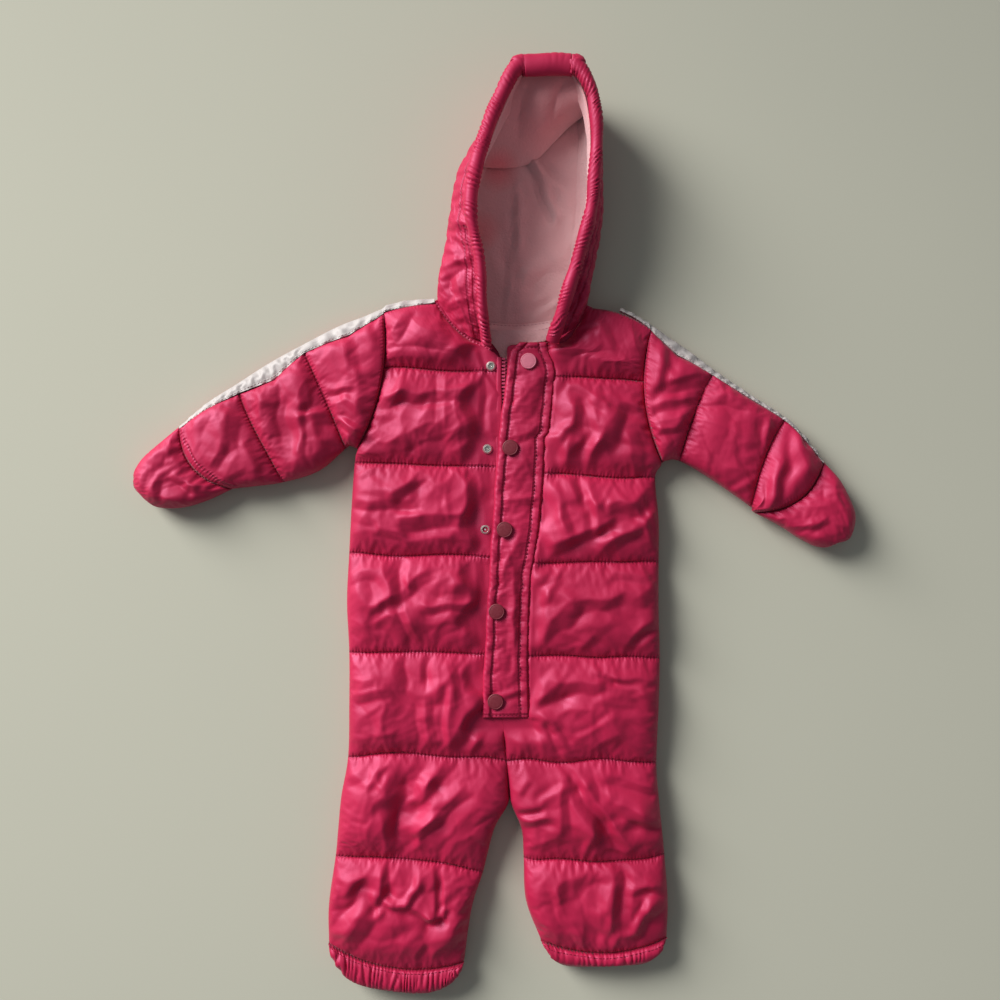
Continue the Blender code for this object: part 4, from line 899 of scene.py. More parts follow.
def smooth_mesh(name, verts, faces, sharp=None):
    """A smooth closed mesh, its faces outwards and its corners sharp beyond an angle in degrees."""
    mesh = plain_mesh(name, verts, faces)
    quads = np.array([face if len(face) == 4 else (*face, face[0]) for face in faces])
    if signed_volume(np.array(verts, float) * MM, quads) < 0:
        mesh.flip_normals()
    mesh.shade_smooth()
    if sharp is not None:
        mesh.set_sharp_from_angle(angle=math.radians(sharp))
    return mesh


def wall_piece(name, upper, lower, material, nodes=(), marks=None, pull=1.0):
    """A closed wall between two grids of points, in mm; marks and their pull are the upper grid's."""
    rows, cols = upper.shape[:2]
    verts = np.concatenate([upper.reshape(-1, 3), lower.reshape(-1, 3)])
    index = np.arange(rows * cols).reshape(rows, cols)
    a, b, c, d = index[:-1, :-1], index[:-1, 1:], index[1:, 1:], index[1:, :-1]
    top = np.stack([a, b, c, d], axis=-1).reshape(-1, 4)
    below = rows * cols
    ring = np.concatenate([index[0, :], index[1:, -1], index[-1, -2::-1], index[-2:0:-1, 0]])
    following = np.roll(ring, -1)
    sides = np.stack([ring, ring + below, following + below, following], axis=1)
    faces = np.concatenate([top, top[:, ::-1] + below, sides])
    mesh = smooth_mesh(name, verts, faces.tolist(), CLOTH_CORNER)
    if marks is not None:
        values = np.zeros((len(verts), 3), np.float32)
        values[:rows * cols, 0] = marks[0].reshape(-1)
        values[:rows * cols, 1] = marks[1].reshape(-1)
        values[:rows * cols, 2] = pull
        layer = mesh.attributes.new("stitch", "FLOAT_VECTOR", "POINT")
        layer.data.foreach_set("vector", values.reshape(-1))
    return add_piece(mesh, material, nodes)


def shell_wall(name, upper, lower, marks=None, pull=1.0):
    """The shell's cloth in place of the solid of that name."""
    return wall_piece(name + "_cloth", upper, lower, SHELL, (name,), marks, pull)


def tube_piece(name, rings, material, nodes):
    """A closed tube through rings of points, in mm, with flat ends."""
    count, around = rings.shape[:2]
    verts = np.concatenate([rings.reshape(-1, 3), rings[0].mean(0)[None], rings[-1].mean(0)[None]])
    faces = []
    for ring in range(count - 1):
        for side in range(around):
            nxt = (side + 1) % around
            faces.append((ring * around + side, ring * around + nxt,
                          (ring + 1) * around + nxt, (ring + 1) * around + side))
    start, end = count * around, count * around + 1
    for side in range(around):
        nxt = (side + 1) % around
        faces.append((start, nxt, side))
        faces.append((end, (count - 1) * around + side, (count - 1) * around + nxt))
    return add_piece(smooth_mesh(name, verts, faces, CLOTH_CORNER), material, nodes)


def lathe_piece(name, profile, place, height, material, nodes, sides=48):
    """A turned button: radius and height from the middle of its top to its base."""
    verts, faces = [(place[0], place[1], height + profile[0][1])], []
    for radius, z in profile[1:-1]:
        for step in range(sides):
            angle = 2 * math.pi * step / sides
            x, y = place[0] + radius * math.cos(angle), place[1] + radius * math.sin(angle)
            verts.append((x, y, height + z))
    verts.append((place[0], place[1], height + profile[-1][1]))
    last = len(verts) - 1
    loops = len(profile) - 2
    for step in range(sides):
        nxt = (step + 1) % sides
        faces.append((0, 1 + step, 1 + nxt))
        for loop in range(loops - 1):
            near, far = 1 + loop * sides, 1 + (loop + 1) * sides
            faces.append((near + step, far + step, far + nxt, near + nxt))
        faces.append((last, 1 + (loops - 1) * sides + nxt, 1 + (loops - 1) * sides + step))
    return add_piece(smooth_mesh(name, verts, faces, TURNED_CORNER), material, nodes)


class Stitches:
    """Short stitches along lines of points, gathered into one mesh."""

    def __init__(self):
        self.verts, self.faces = [], []

    def line(self, points, normals, pitch=3.4, length=2.5, width=0.55, lift=0.25):
        """Stitches along a line of points; lift is their height above it."""
        places = run_lengths(points)
        for index in range(int((places[-1] - length) / pitch)):
            ends = []
            first = index * pitch + 0.6
            for at in (first, first + length / 2, first + length):
                spot = np.array([np.interp(at, places, points[:, k]) for k in range(3)])
                up = np.array([np.interp(at, places, normals[:, k]) for k in range(3)])
                ends.append((spot, up / np.linalg.norm(up)))
            self.add(ends, width, lift)

    def flat_line(self, points, up=1.0):
        """Stitches along a line of points on cloth that faces straight up or, with -1, down."""
        self.line(points, np.broadcast_to((0.0, 0.0, up), points.shape))

    def add(self, ends, width, lift):
        """One stitch, thickest in its middle, from the two ends and the middle of its line."""
        (start, _), (middle, mid_up), (end, _) = ends
        along = (end - start) / max(np.linalg.norm(end - start), 1e-6)
        side = np.cross(mid_up, along)
        base = len(self.verts)
        for spot, half, rise in ((start, 0.5, -0.3), (middle, 1.0, 0.25), (end, 0.5, -0.3)):
            centre = spot + mid_up * lift
            for across, height in ((-0.5, 0.0), (0.0, 0.5), (0.5, 0.0), (0.0, -0.5)):
                offset = side * across * width * half + mid_up * (height * width * half + rise * width)
                self.verts.append(centre + offset)
        for ring in (0, 4):
            for side_index in range(4):
                nxt = (side_index + 1) % 4
                self.faces.append((base + ring + side_index, base + ring + nxt,
                                   base + ring + 4 + nxt, base + ring + 4 + side_index))
        self.faces.append((base + 3, base + 2, base + 1, base))
        self.faces.append((base + 8, base + 9, base + 10, base + 11))

    def build(self, name, material):
        return add_piece(smooth_mesh(name, self.verts, self.faces), material)


SHELL_STITCHES = Stitches()
BAND_STITCHES = Stitches()
LINING_STITCHES = Stitches()


# ---------------------------------------------------------------- materials

class Nodes:
    """Small helper around a material's nodes."""

    def __init__(self, name):
        self.material = bpy.data.materials.new(name)
        self.material.use_nodes = True
        self.tree = self.material.node_tree
        self.shader = self.tree.nodes["Principled BSDF"]
        coordinates = self.tree.nodes.new("ShaderNodeTexCoord")
        self.place = coordinates.outputs["Object"]

    def node(self, kind, inputs=(), **settings):
        made = self.tree.nodes.new(kind)
        for key, value in settings.items():
            setattr(made, key, value)
        for key, value in dict(inputs).items():
            if isinstance(value, bpy.types.NodeSocket):
                self.tree.links.new(value, made.inputs[key])
            else:
                made.inputs[key].default_value = value
        return made

    def noise(self, scale, detail=3.0, rough=0.5, stretch=(1, 1, 1), warp=0.0):
        mapping = self.node("ShaderNodeMapping", {"Vector": self.place, "Scale": stretch})
        return self.node("ShaderNodeTexNoise", {
            "Vector": mapping.outputs[0], "Scale": scale, "Detail": detail,
            "Roughness": rough, "Distortion": warp,
        }).outputs[0]

    def spread(self, value, low, high, to_low=0.0, to_high=1.0):
        return self.node("ShaderNodeMapRange", {
            "Value": value, "From Min": low, "From Max": high, "To Min": to_low, "To Max": to_high,
        }).outputs[0]

    def calc(self, kind, first, second=0.0):
        return self.node("ShaderNodeMath", {0: first, 1: second}, operation=kind).outputs[0]

    def mix(self, share, first, second):
        first, second = ((*c, 1.0) if isinstance(c, tuple) else c for c in (first, second))
        return self.node("ShaderNodeMix", {0: share, 6: first, 7: second}, data_type="RGBA").outputs[2]

    def bump(self, height, strength, distance, normal=None):
        inputs = {"Height": height, "Strength": strength, "Distance": distance}
        if normal is not None:
            inputs["Normal"] = normal
        return self.node("ShaderNodeBump", inputs).outputs[0]

    def link(self, socket, name):
        self.tree.links.new(socket, self.shader.inputs[name])

    def set(self, **values):
        for name, value in values.items():
            self.shader.inputs[name.replace("_", " ")].default_value = value


def stitch_relief(nodes):
    """Depth in mm of the stitched lines and of the notches that each stitch pulls beside them."""
    mark = nodes.node("ShaderNodeAttribute", attribute_name="stitch")
    parts = nodes.node("ShaderNodeSeparateXYZ", {"Vector": mark.outputs["Vector"]})
    off = nodes.calc("MULTIPLY", nodes.calc("SUBTRACT", 1.0, parts.outputs[0]), STITCH_REACH)
    groove = nodes.spread(off, 0.2, 1.7, 1.0, 0.0)
    patchy = nodes.noise(70, 2)
    reach = nodes.spread(patchy, 0.35, 0.65, 1.5, 6.5)
    notch = nodes.spread(off, 0.4, reach, 1.0, 0.0)
    wander = nodes.calc("MULTIPLY", nodes.noise(160, 2), 5.0)
    turn = nodes.calc("ADD", nodes.calc("MULTIPLY", parts.outputs[1], 2 * math.pi / NOTCH_PITCH), wander)
    beat = nodes.spread(nodes.calc("SINE", turn), -1.0, 1.0, 0.0, 1.0)
    pull = nodes.calc("MULTIPLY", parts.outputs[2], NOTCH_DEPTH)
    depth = nodes.calc("MULTIPLY", nodes.calc("MULTIPLY", notch, beat), pull)
    return groove, nodes.calc("ADD", nodes.calc("MULTIPLY", groove, 0.6), depth)


def satin(name, colour, shade, roughness, gloss=(1.0, 0.48, 0.80)):
    """Polyester satin: faint crumples, a close weave, an uneven dye, and stitched lines darkened partly for
    the thread and partly as painted shade.
    """
    nodes = Nodes(name)
    groove, relief = stitch_relief(nodes)
    broad = nodes.spread(nodes.noise(9, 2), 0.35, 0.65)
    dyed = nodes.mix(broad, colour, shade)
    # Painted shade along the stitched lines: the base colour darkens there, partly for the thread and partly
    # for the shade in their grooves.
    thread_and_painted_shade = tuple(0.45 * c for c in shade)
    nodes.link(nodes.mix(nodes.calc("MULTIPLY", groove, 0.45), dyed, thread_and_painted_shade), "Base Color")
    rough = nodes.spread(nodes.noise(60, 3), 0.3, 0.7, roughness - 0.05, roughness + 0.06)
    nodes.link(rough, "Roughness")
    crumpled = nodes.noise(120, 3, 0.55, (1, 0.7, 1), 0.4)
    weave = nodes.noise(1500, 1, 0.5, (1, 0.35, 1))
    sunk = nodes.bump(nodes.calc("MULTIPLY", relief, -1.0), 1.0, 0.001)
    normal = nodes.bump(crumpled, 0.25, 0.0008, sunk)
    nodes.link(nodes.bump(weave, 0.1, 0.0002, normal), "Normal")
    nodes.set(Sheen_Weight=0.10, Sheen_Roughness=0.4, Specular_IOR_Level=0.75)
    nodes.shader.inputs["Specular Tint"].default_value = (*gloss, 1.0)
    nodes.shader.inputs["Sheen Tint"].default_value = (1.0, 0.75, 0.85, 1.0)
    return nodes.material


def fleece(name, colour, shade):
    """Brushed fleece: a matt nap in small clumps, with painted red light in spots where the shell would glow
    through it.
    """
    nodes = Nodes(name)
    clumps = nodes.noise(420, 4, 0.7)
    broad = nodes.noise(14, 3)
    tone = nodes.mix(nodes.spread(broad, 0.3, 0.7), colour, shade)
    # Painted light: the fleece turns red around each spot, as if lit through the shell.
    for x, y, z, reach, depth in PAINTED_GLOW_SPOTS:
        off = nodes.node("ShaderNodeVectorMath", {0: nodes.place, 1: (x * MM, y * MM, z * MM)},
                         operation="DISTANCE").outputs["Value"]
        tone = nodes.mix(nodes.spread(off, 0.3 * reach * MM, reach * MM, depth, 0.0), tone, PAINTED_GLOW_COLOUR)
    nodes.link(tone, "Base Color")
    normal = nodes.bump(clumps, 0.7, 0.0012)
    nodes.link(normal, "Normal")
    nodes.set(Roughness=0.95, Sheen_Weight=0.6, Sheen_Roughness=0.6, Specular_IOR_Level=0.15)
    return nodes.material


def thread(name, colour):
    """Matt twisted sewing thread."""
    nodes = Nodes(name)
    twist = nodes.noise(2500, 1)
    nodes.link(nodes.mix(twist, colour, tuple(c * 0.75 for c in colour)), "Base Color")
    nodes.link(nodes.bump(twist, 0.3, 0.0002), "Normal")
    nodes.set(Roughness=0.85, Specular_IOR_Level=0.2)
    return nodes.material


def enamel(name, colour, roughness, metallic=0.0, worn=0.5):
    """Snaps and zip teeth: fine marks of wear in a smooth coat."""
    nodes = Nodes(name)
    wear = nodes.noise(500, 4, 0.6)
    bright = tuple(min(1.0, c * 1.25 + 0.02) for c in colour)
    nodes.link(nodes.mix(nodes.spread(wear, 0.4, 0.75, 0, worn), colour, bright), "Base Color")
    nodes.link(nodes.spread(wear, 0.3, 0.7, roughness - 0.06, roughness + 0.08), "Roughness")
    nodes.link(nodes.bump(wear, 0.06, 0.0003), "Normal")
    nodes.set(Metallic=metallic)
    return nodes.material


# Spots of painted red light on the lining, where the shell would glow through it: x, y, z, reach and
# strength.
PAINTED_GLOW_SPOTS = ((3, 323, 14, 22, 0.6), (-13, 270, 22, 26, 0.7), (40, 372, 40, 60, 0.35))
PAINTED_GLOW_COLOUR = (0.85, 0.13, 0.17)

SHELL = satin("satin_shell", (0.47, 0.009, 0.056), (0.39, 0.006, 0.043), 0.55)
BAND = satin("white_band", (0.47, 0.435, 0.43), (0.42, 0.385, 0.38), 0.58, (1.0, 1.0, 1.0))
FLEECE = fleece("pale_fleece", (0.76, 0.46, 0.475), (0.70, 0.40, 0.42))
SHELL_THREAD = thread("shell_thread", (0.30, 0.010, 0.045))
BAND_THREAD = thread("band_thread", (0.75, 0.68, 0.68))
LINING_THREAD = thread("lining_thread", (0.66, 0.33, 0.39))
SNAP = enamel("snap_enamel", (0.165, 0.008, 0.022), 0.60)
# Painted light: the top cap's enamel is paler than the other caps', partly for wear and partly as if it were
# lit.
SNAP_TOP = enamel("snap_enamel_worn_and_painted_light", (0.64, 0.17, 0.25), 0.60)
METAL = enamel("snap_metal", (0.72, 0.70, 0.66), 0.34, 0.85, 0.15)
ZIP = enamel("zip_teeth", (0.52, 0.05, 0.13), 0.40)


# ---------------------------------------------------------------- the body's panels

TURNED_OVER = (1, 1, -1)


def cuff_edge(breadth, u):
    """How far the turned edge of a cuff lies from the mitt's seam, across the sleeve."""
    return breadth * (0.35 + 0.65 * ease(u / 0.35))


def front_inside(u):
    """Height of a front's inner surface across the panel."""
    return FRONT_BASE + HOLLOW_RISE * np.sin(math.pi * u)


def front_layers(panel, puff, roll, seed, placket=False, lift=0.0, cuff=0.0):
    """Outer target surface and inner surface of a front panel."""
    rise = puff_shape(panel.share)[:, None]
    u, v = arc_places(with_height(panel.plan, 0.0))
    small = fold_height(panel.plan, small_creases(panel.plan, seed))
    folds = FOLD_SHARE * fold_height(panel.plan) + small + crumple(u, v, seed)
    full = STITCH_WALL + puff * rise + lift * np.exp(-v / ARMHOLE_FADE) + folds * np.minimum(1.15 * rise, 1)
    inside = np.broadcast_to(front_inside(panel.u)[None, :], full.shape)
    height = inside + np.maximum(panel.wall(full, roll), EDGE_WALL)
    if cuff:
        to_end = v[-1:] - v
        cuff_gather = puckers(u + 0.8 * to_end, CUFF_PITCH, 0.9 * np.sin(u / 9))
        height = height + (CUFF_RISE + 0.3 * cuff_gather) * ease((cuff_edge(cuff, panel.u) - to_end) / 0.9)
    pressed = None
    if placket:
        pressed = placket_share(panel.plan)
        x, y = panel.plan[..., 0], panel.plan[..., 1]
        beside = ease((x - falling_table(FLAP, y, 2) + 0.5) / 1.2) * ease((y - FLAP[-1][0] + 2) / 3)
        relief = 0.8 * fold_height(panel.plan, PLACKET_FOLDS) + 0.35 * crumple(u, v, seed)
        height = height + (PLACKET_TOP + FLAP_FLUSH * beside + relief - height) * pressed
    return with_height(panel.plan, height), with_height(panel.plan, inside), pressed


def back_layers(panel, roll):
    """Outer target surface, under the garment, and inner surface of a back panel."""
    wall = panel.wall(np.full((len(panel.position), len(panel.u)), BACK_TOP), roll)
    u, v = arc_places(with_height(panel.plan, 0.0))
    near = np.zeros(wall.shape)
    for row in panel.seams:
        near = np.maximum(near, np.exp(-((v - v[row]) / 3.2) ** 2))
    wall = np.maximum(wall - GROOVE * near, EDGE_WALL)
    return with_height(panel.plan, BACK_TOP - wall), with_height(panel.plan, BACK_TOP)


def stitch_rows(surface, rows):
    """Rows of stitches along a front's stitched lines."""
    normals = upward_normals(surface)
    for row in rows:
        SHELL_STITCHES.line(surface[row], normals[row])


def stitch_back_rows(surface, rows):
    for row in rows:
        SHELL_STITCHES.flat_line(surface[row], -1.0)


def make_front(name, panel, puff, roll, seed, placket=False, lift=0.0, cuff=0.0, **ways):
    target, inside, pressed = front_layers(panel, puff, roll, seed, placket, lift, cuff)
    lower = inside[..., 2] + 0.5
    surface = quilted(panel, target, seed, lower, pressed, **ways)
    near, run = stitch_marks(panel, target)
    if cuff:
        _u, v = arc_places(target)
        line = np.abs(v[-1:] - v - cuff_edge(cuff, panel.u) + 1.4)
        near = np.maximum(near, np.clip(1 - line / STITCH_REACH, 0, 1))
    piece = shell_wall(name, surface, inside, (near, run))
    return surface


def make_back(name, panel, roll, seed, **ways):
    target, inside = back_layers(panel, roll)
    to_seam = seam_distance(target, panel.seams)
    free = free_inside(target.shape[:2], panel.seams)
    slack_u = BACK_SLACK + BACK_GATHER * np.exp(-to_seam / 9)
    surface = settle(target * TURNED_OVER, slack_u, BACK_SLACK, free, seed, rise=0.6,
                     near=np.exp(-to_seam / 6)) * TURNED_OVER
    surface[..., 2] = np.clip(surface[..., 2], 0.0, BACK_TOP - 0.6)
    piece = shell_wall(name, inside, surface)
    return surface


def hem_layers(top_row, edge_row, over, squareness, step=1.1):
    """Target surfaces of a gathered casing at a leg's end; squareness is that of its corners."""
    panel = Panel((top_row._replace(stitched=1), edge_row), step)
    share = panel.share
    fuller = 1 - np.abs(2 * panel.u - 1) ** squareness - 4 * panel.u * (1 - panel.u)
    panel.plan[..., 1] += edge_row.bow * share[:, None] * fuller[None, :]
    bulge = np.sqrt(np.clip(np.sin(math.pi * np.clip(share, 0, 1)), 0, 1)) * 0.95
    edge = np.minimum(quarter_round(panel.u * 14), quarter_round((1 - panel.u) * 14))
    x, y = panel.plan[..., 0], panel.plan[..., 1]
    gather = puckers(x, 6.0, 2.6 * ripples(x, y, 30, 0, 20, 7, 8))
    gather = gather * np.clip(1 + 0.6 * ripples(x, y, 26, 0, 30, 9, 8), 0.2, 1.8)
    thin = EDGE_WALL + (STITCH_WALL - EDGE_WALL) * (1 - share)
    full = HEM_PUFF if over else BACK_TOP
    wall = thin[:, None] + (full - thin[:, None]) * bulge[:, None] * edge[None, :]
    wall = np.maximum(wall + HEM_GATHER * gather * bulge[:, None], EDGE_WALL)
    inside = front_inside(panel.u)[None, :] + 0 * wall if over else np.full(wall.shape, BACK_TOP)
    height = inside + wall if over else inside - wall
    plan = panel.plan.copy()
    plan[0, :, 1] -= 2 * SEAM
    return panel, with_height(plan, height), with_height(plan, inside)


def make_hem(name, top_row, edge_row, over, squareness, seed):
    panel, target, inside = hem_layers(top_row, edge_row, over, squareness)
    flip = (1, 1, 1) if over else TURNED_OVER
    free = free_inside(target.shape[:2])
    slack = 0.12 if over else 0.06
    waves = ((17, 0, 8, 1.0), (8, 0, 8, 0.6), (5, 0, 8, 0.3))
    lower = inside[..., 2] + 0.4 if over else None
    surface = settle(target * flip, slack, 0.02, free, seed, rise=1.0 if over else 0.3, fall=1.8,
                     lower=lower, waves=waves, near=1.0, bend=0.1) * flip
    marks = stitch_marks(panel, target)
    if over:
        piece = shell_wall(name, surface, inside, marks)
    else:
        surface[..., 2] = np.clip(surface[..., 2], 0.0, BACK_TOP - 0.5)
        piece = shell_wall(name, inside, surface)
    return surface


def back_row(row, side):
    """A front's row for the back: thin only at the edges that are free."""
    inner = EDGE_WALL if row.left_y < LEGS_PART else BACK_TOP
    outer = EDGE_WALL if row.left_y < UNDERARM else BACK_TOP
    ends = (outer, inner) if side < 0 else (inner, outer)
    return row._replace(left_edge=ends[0], right_edge=ends[1])


def make_half(name, side, rows, neck, armhole, hem_edge, squareness, seed):
    lines = {
        ARM: lambda y: armhole_x(armhole, y) - side * SEAM,
        CENTRE: lambda y: float(centre_x(y, side)),
    }
    front = Panel(rows, STEP, lines)
    surface = make_front(name + "_front", front, TORSO_PUFF, EDGE_ROLL, seed, placket=True)
    stitch_rows(surface, front.seams[1:-1])
    lines[CENTRE] = lambda y: float(falling_table(CENTRE_FRONT, y, 1)) + side * BACK_SEAM
    back_rows = [back_row(row, side) for row in neck + rows[len(neck) + 1:]]
    back = Panel(back_rows, BACK_STEP, lines)
    under = make_back(name + "_back", back, BACK_ROLL, seed + 7)
    stitch_back_rows(under, back.seams[1:-1])
    make_hem(name + "_hem_back", back.rows[-1], hem_edge, False, squareness, seed + 11)
    hem = make_hem(name + "_hem_front", front.rows[-1], hem_edge, True, squareness, seed + 11)
    stitch_rows(hem, (1,))


# ---------------------------------------------------------------- flap, zip and snaps

def make_flap():
    """The placket flap: a padded roll down its left side and a stitched strip down the other."""
    top, bottom = FLAP[0][0], FLAP[-1][0]
    y = np.concatenate([
        np.linspace(top, top - FLAP_TOP_HEM, 4, endpoint=False),
        np.linspace(top - FLAP_TOP_HEM, bottom + FLAP_END_HEM, 195),
        np.linspace(bottom + FLAP_END_HEM, bottom, 3)[1:],
    ])
    left, right = (falling_table(FLAP, y, column)[:, None] for column in (1, 2))
    sway = 0.3 * np.sin(y / 9.0) + 0.2 * np.sin(y / 3.7 + 1)
    left = left + sway[:, None]
    strip = np.linspace(0, FLAP_STRIP, 7)[:-1]
    middle = np.linspace(0, 1, 17)[:-1]
    broad = right - left - 2 * FLAP_STRIP
    x = np.concatenate([
        left + strip, left + FLAP_STRIP + broad * middle, right - FLAP_STRIP + np.linspace(0, FLAP_STRIP, 7),
    ], axis=1)
    plan = plan_grid(x, y)
    from_left, from_right = x - left, right - x
    from_top, from_end = (top - y)[:, None] + 0 * x, (y - bottom)[:, None] + 0 * x
    wall = FLAP_MIDDLE[0] + FLAP_MIDDLE[1] * puff_shape(np.clip((from_left - FLAP_STRIP) / broad, 0, 1))
    roll = np.sqrt(np.clip(np.sin(math.pi * from_left / FLAP_STRIP), 0, 1))
    aslant = puckers(y[:, None] + 0.8 * from_left, ROLL_PITCH, 1.3 * np.sin(y[:, None] / 21))
    rolled = FLAP_ROLL[0] + FLAP_ROLL[1] * roll + ROLL_GATHER * aslant * roll
    wall = np.where(from_left < FLAP_STRIP, rolled, wall)
    seam = np.sin(math.pi * np.clip(from_right / FLAP_STRIP, 0, 1)) ** 0.7
    drift = 1.2 * np.sin(y[:, None] / 17)
    pinch = np.minimum(puckers(y[:, None] - 0.3 * from_right, PINCH_PITCH, drift), 0)
    border = FLAP_BORDER[0] + FLAP_BORDER[1] * seam + PINCH_DEPTH * pinch
    wall = np.where(from_right < FLAP_STRIP, border, wall)
    folds = FLAP_FOLD_SHARE * fold_height(plan, FLAP_FOLDS)
    wall = wall + folds * np.clip((from_left - FLAP_STRIP) / 4, 0, 1)
    for place in SNAP_CAPS:
        wall = wall - SNAP_DENT * np.exp(-np.sum((plan - place) ** 2, axis=2) / 90)
    edge = np.minimum(np.minimum(from_left, from_right), np.minimum(from_top, from_end))
    wall = np.maximum(wall, 1.0) * (0.45 + 0.55 * quarter_round(edge / 1.6))
    base = PLACKET_TOP + LAYER_GAP
    target = with_height(plan, base + wall)
    inside = with_height(plan, base)
    free = free_inside(x.shape, (FLAP_TOP_ROW,))
    free[:, len(strip)] = free[:, STRIP_COLUMN] = 0
    beside = np.exp(-np.minimum(np.abs(from_left - FLAP_STRIP), from_left) / 3)
    slack_v = 0.012 + 0.07 * beside + 0.04 * np.exp(-from_right / 5)
    surface = settle(target, 0.01, slack_v, free, 71, rise=0.5, fall=1.2, lower=inside[..., 2] + 0.5,
                     waves=((60, 30, 50, 0.5), (24, 70, 40, 0.4), (6, 75, 15, 0.5)), near=0.3 + beside)
    off = np.min([np.abs(from_left - FLAP_STRIP), np.abs(from_right - FLAP_STRIP), from_right,
                  np.abs(from_top - FLAP_TOP_HEM), np.abs(from_end - FLAP_END_HEM)], axis=0)
    along = np.where(np.minimum(from_top, from_end) < 9, x, y[:, None])
    near = np.clip(1 - off / STITCH_REACH, 0, 1)
    piece = shell_wall("placket_flap", surface, inside, (near, along), pull=0.35)
    SHELL_STITCHES.flat_line(surface[:, STRIP_COLUMN])
    for row in (FLAP_TOP_ROW, FLAP_END_ROW):
        SHELL_STITCHES.flat_line(surface[row, 3:-3])


# Profiles of the snaps: radius and height, from the middle of the top to the base.
CAP = ((0, 1.55), (2.0, 1.54), (4.0, 1.48), (5.3, 1.36), (5.8, 1.22), (6.2, 1.38), (6.6, 1.28),
       (6.95, 0.9), (7.0, 0.4), (6.9, 0.0), (0, 0.0))
SOCKET = ((0, 1.6), (0.6, 1.5), (0.95, 1.1), (1.05, 0.2), (2.3, 0.15), (2.4, 1.3), (2.7, 1.8), (3.2, 1.75),
          (3.7, 1.1), (4.1, 0.7), (4.3, 0.4), (4.3, 0.0), (0, 0.0))


def make_snaps():
    """Caps on the flap, the top one of them paler, partly worn and partly painted light, and open sockets on
    the right front.
    """
    for kind, places, profile, coats, slot in (
        ("snap_cap", SNAP_CAPS, CAP, (SNAP_TOP, SNAP), "snap_enamel"),
        ("snap_socket", SNAP_SOCKETS, SOCKET, (METAL, METAL), "snap_metal"),
    ):
        for index, place in enumerate(places):
            node = "%s_%d" % (kind, index + 1)
            low, _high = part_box(node)
            lathe_piece(node + "_turned", profile, place, low.z / MM, coats[min(index, 1)], (node,))


def make_zip():
    """Tape and moulded teeth of the zip, open to view at the neck and under the flap below."""
    verts, faces = [], []

    def block(x0, x1, y0, y1, z0, z1):
        base = len(verts)
        for z in (z0, z1):
            verts.extend([(x0, y0, z), (x1, y0, z), (x1, y1, z), (x0, y1, z)])
        for face in ((3, 2, 1, 0), (4, 5, 6, 7), (0, 1, 5, 4), (1, 2, 6, 5), (2, 3, 7, 6), (3, 0, 4, 7)):
            faces.append(tuple(base + corner for corner in face))

    for index in range(int((ZIP_ENDS[0] - ZIP_ENDS[1]) / TOOTH_PITCH)):
        y = ZIP_ENDS[0] - TOOTH_PITCH * (index + 0.5)
        x = float(falling_table(CENTRE_FRONT, y, 1))
        top = ZIP_LOW + (ZIP_HIGH - ZIP_LOW) * float(ease((y - ZIP_DIP) / ZIP_SLOPE))
        block(x - 2.2, x + 0.8, y - TOOTH_HALF, y + TOOTH_HALF, top - 3.0, top)
        block(x - 0.6, x + 2.1, y - TOOTH_HALF - TOOTH_PITCH / 2, y + TOOTH_HALF - TOOTH_PITCH / 2,
              top - 3.4, top - 1.6)
        block(x - 1.9, x + 1.9, y - TOOTH_PITCH, y, top - 4.6, top - 3.5)
    add_piece(plain_mesh("zip_chain_teeth", verts, faces), ZIP, ("zip_chain",))

    y = np.linspace(ZIP_ENDS[0], ZIP_ENDS[1], 190)
    across, swell = (np.array(column) for column in zip(*TAPE_SECTION))
    x = falling_table(CENTRE_FRONT, y, 1)[:, None] + across[None, :] + 0.25 * np.sin(y / 8)[:, None]
    plan = plan_grid(x, y)
    rise = TAPE_LOW + (TAPE_HIGH - TAPE_LOW) * ease((y - ZIP_DIP) / ZIP_SLOPE)
    upper = with_height(plan, PLACKET_TOP + rise[:, None] * swell[None, :])
    tape = wall_piece("zip_tape", upper, with_height(plan, PLACKET_TOP - 0.5), SHELL)


# ---------------------------------------------------------------- sleeves, bands and mitts

def sleeve_rows(table, side, top_edge, first_shift, last_shift):
    """A sleeve's rows as a panel's, with its end rows moved outwards along the sleeve."""
    rows = []
    for index, row in enumerate(table):
        chord = Vector((row.bottom_x - row.top_x, row.bottom_y - row.top_y))
        outward = Vector((-chord.y, chord.x)).normalized() * side
        shift = first_shift if index == 0 else last_shift if index == len(table) - 1 else 0.0
        top = Vector((row.top_x, row.top_y)) + outward * shift
        bottom = Vector((row.bottom_x, row.bottom_y)) + outward * shift
        rows.append(Row(top.x, top.y, bottom.x, bottom.y, row.bow, row.stitched, top_edge, EDGE_WALL))
    return rows


def band_shares(table, gap):
    """How much of each row the shoulder band takes up."""
    shares = []
    for row in table:
        length = math.hypot(row.bottom_x - row.top_x, row.bottom_y - row.top_y)
        shares.append((row.band + gap) / length)
    return shares


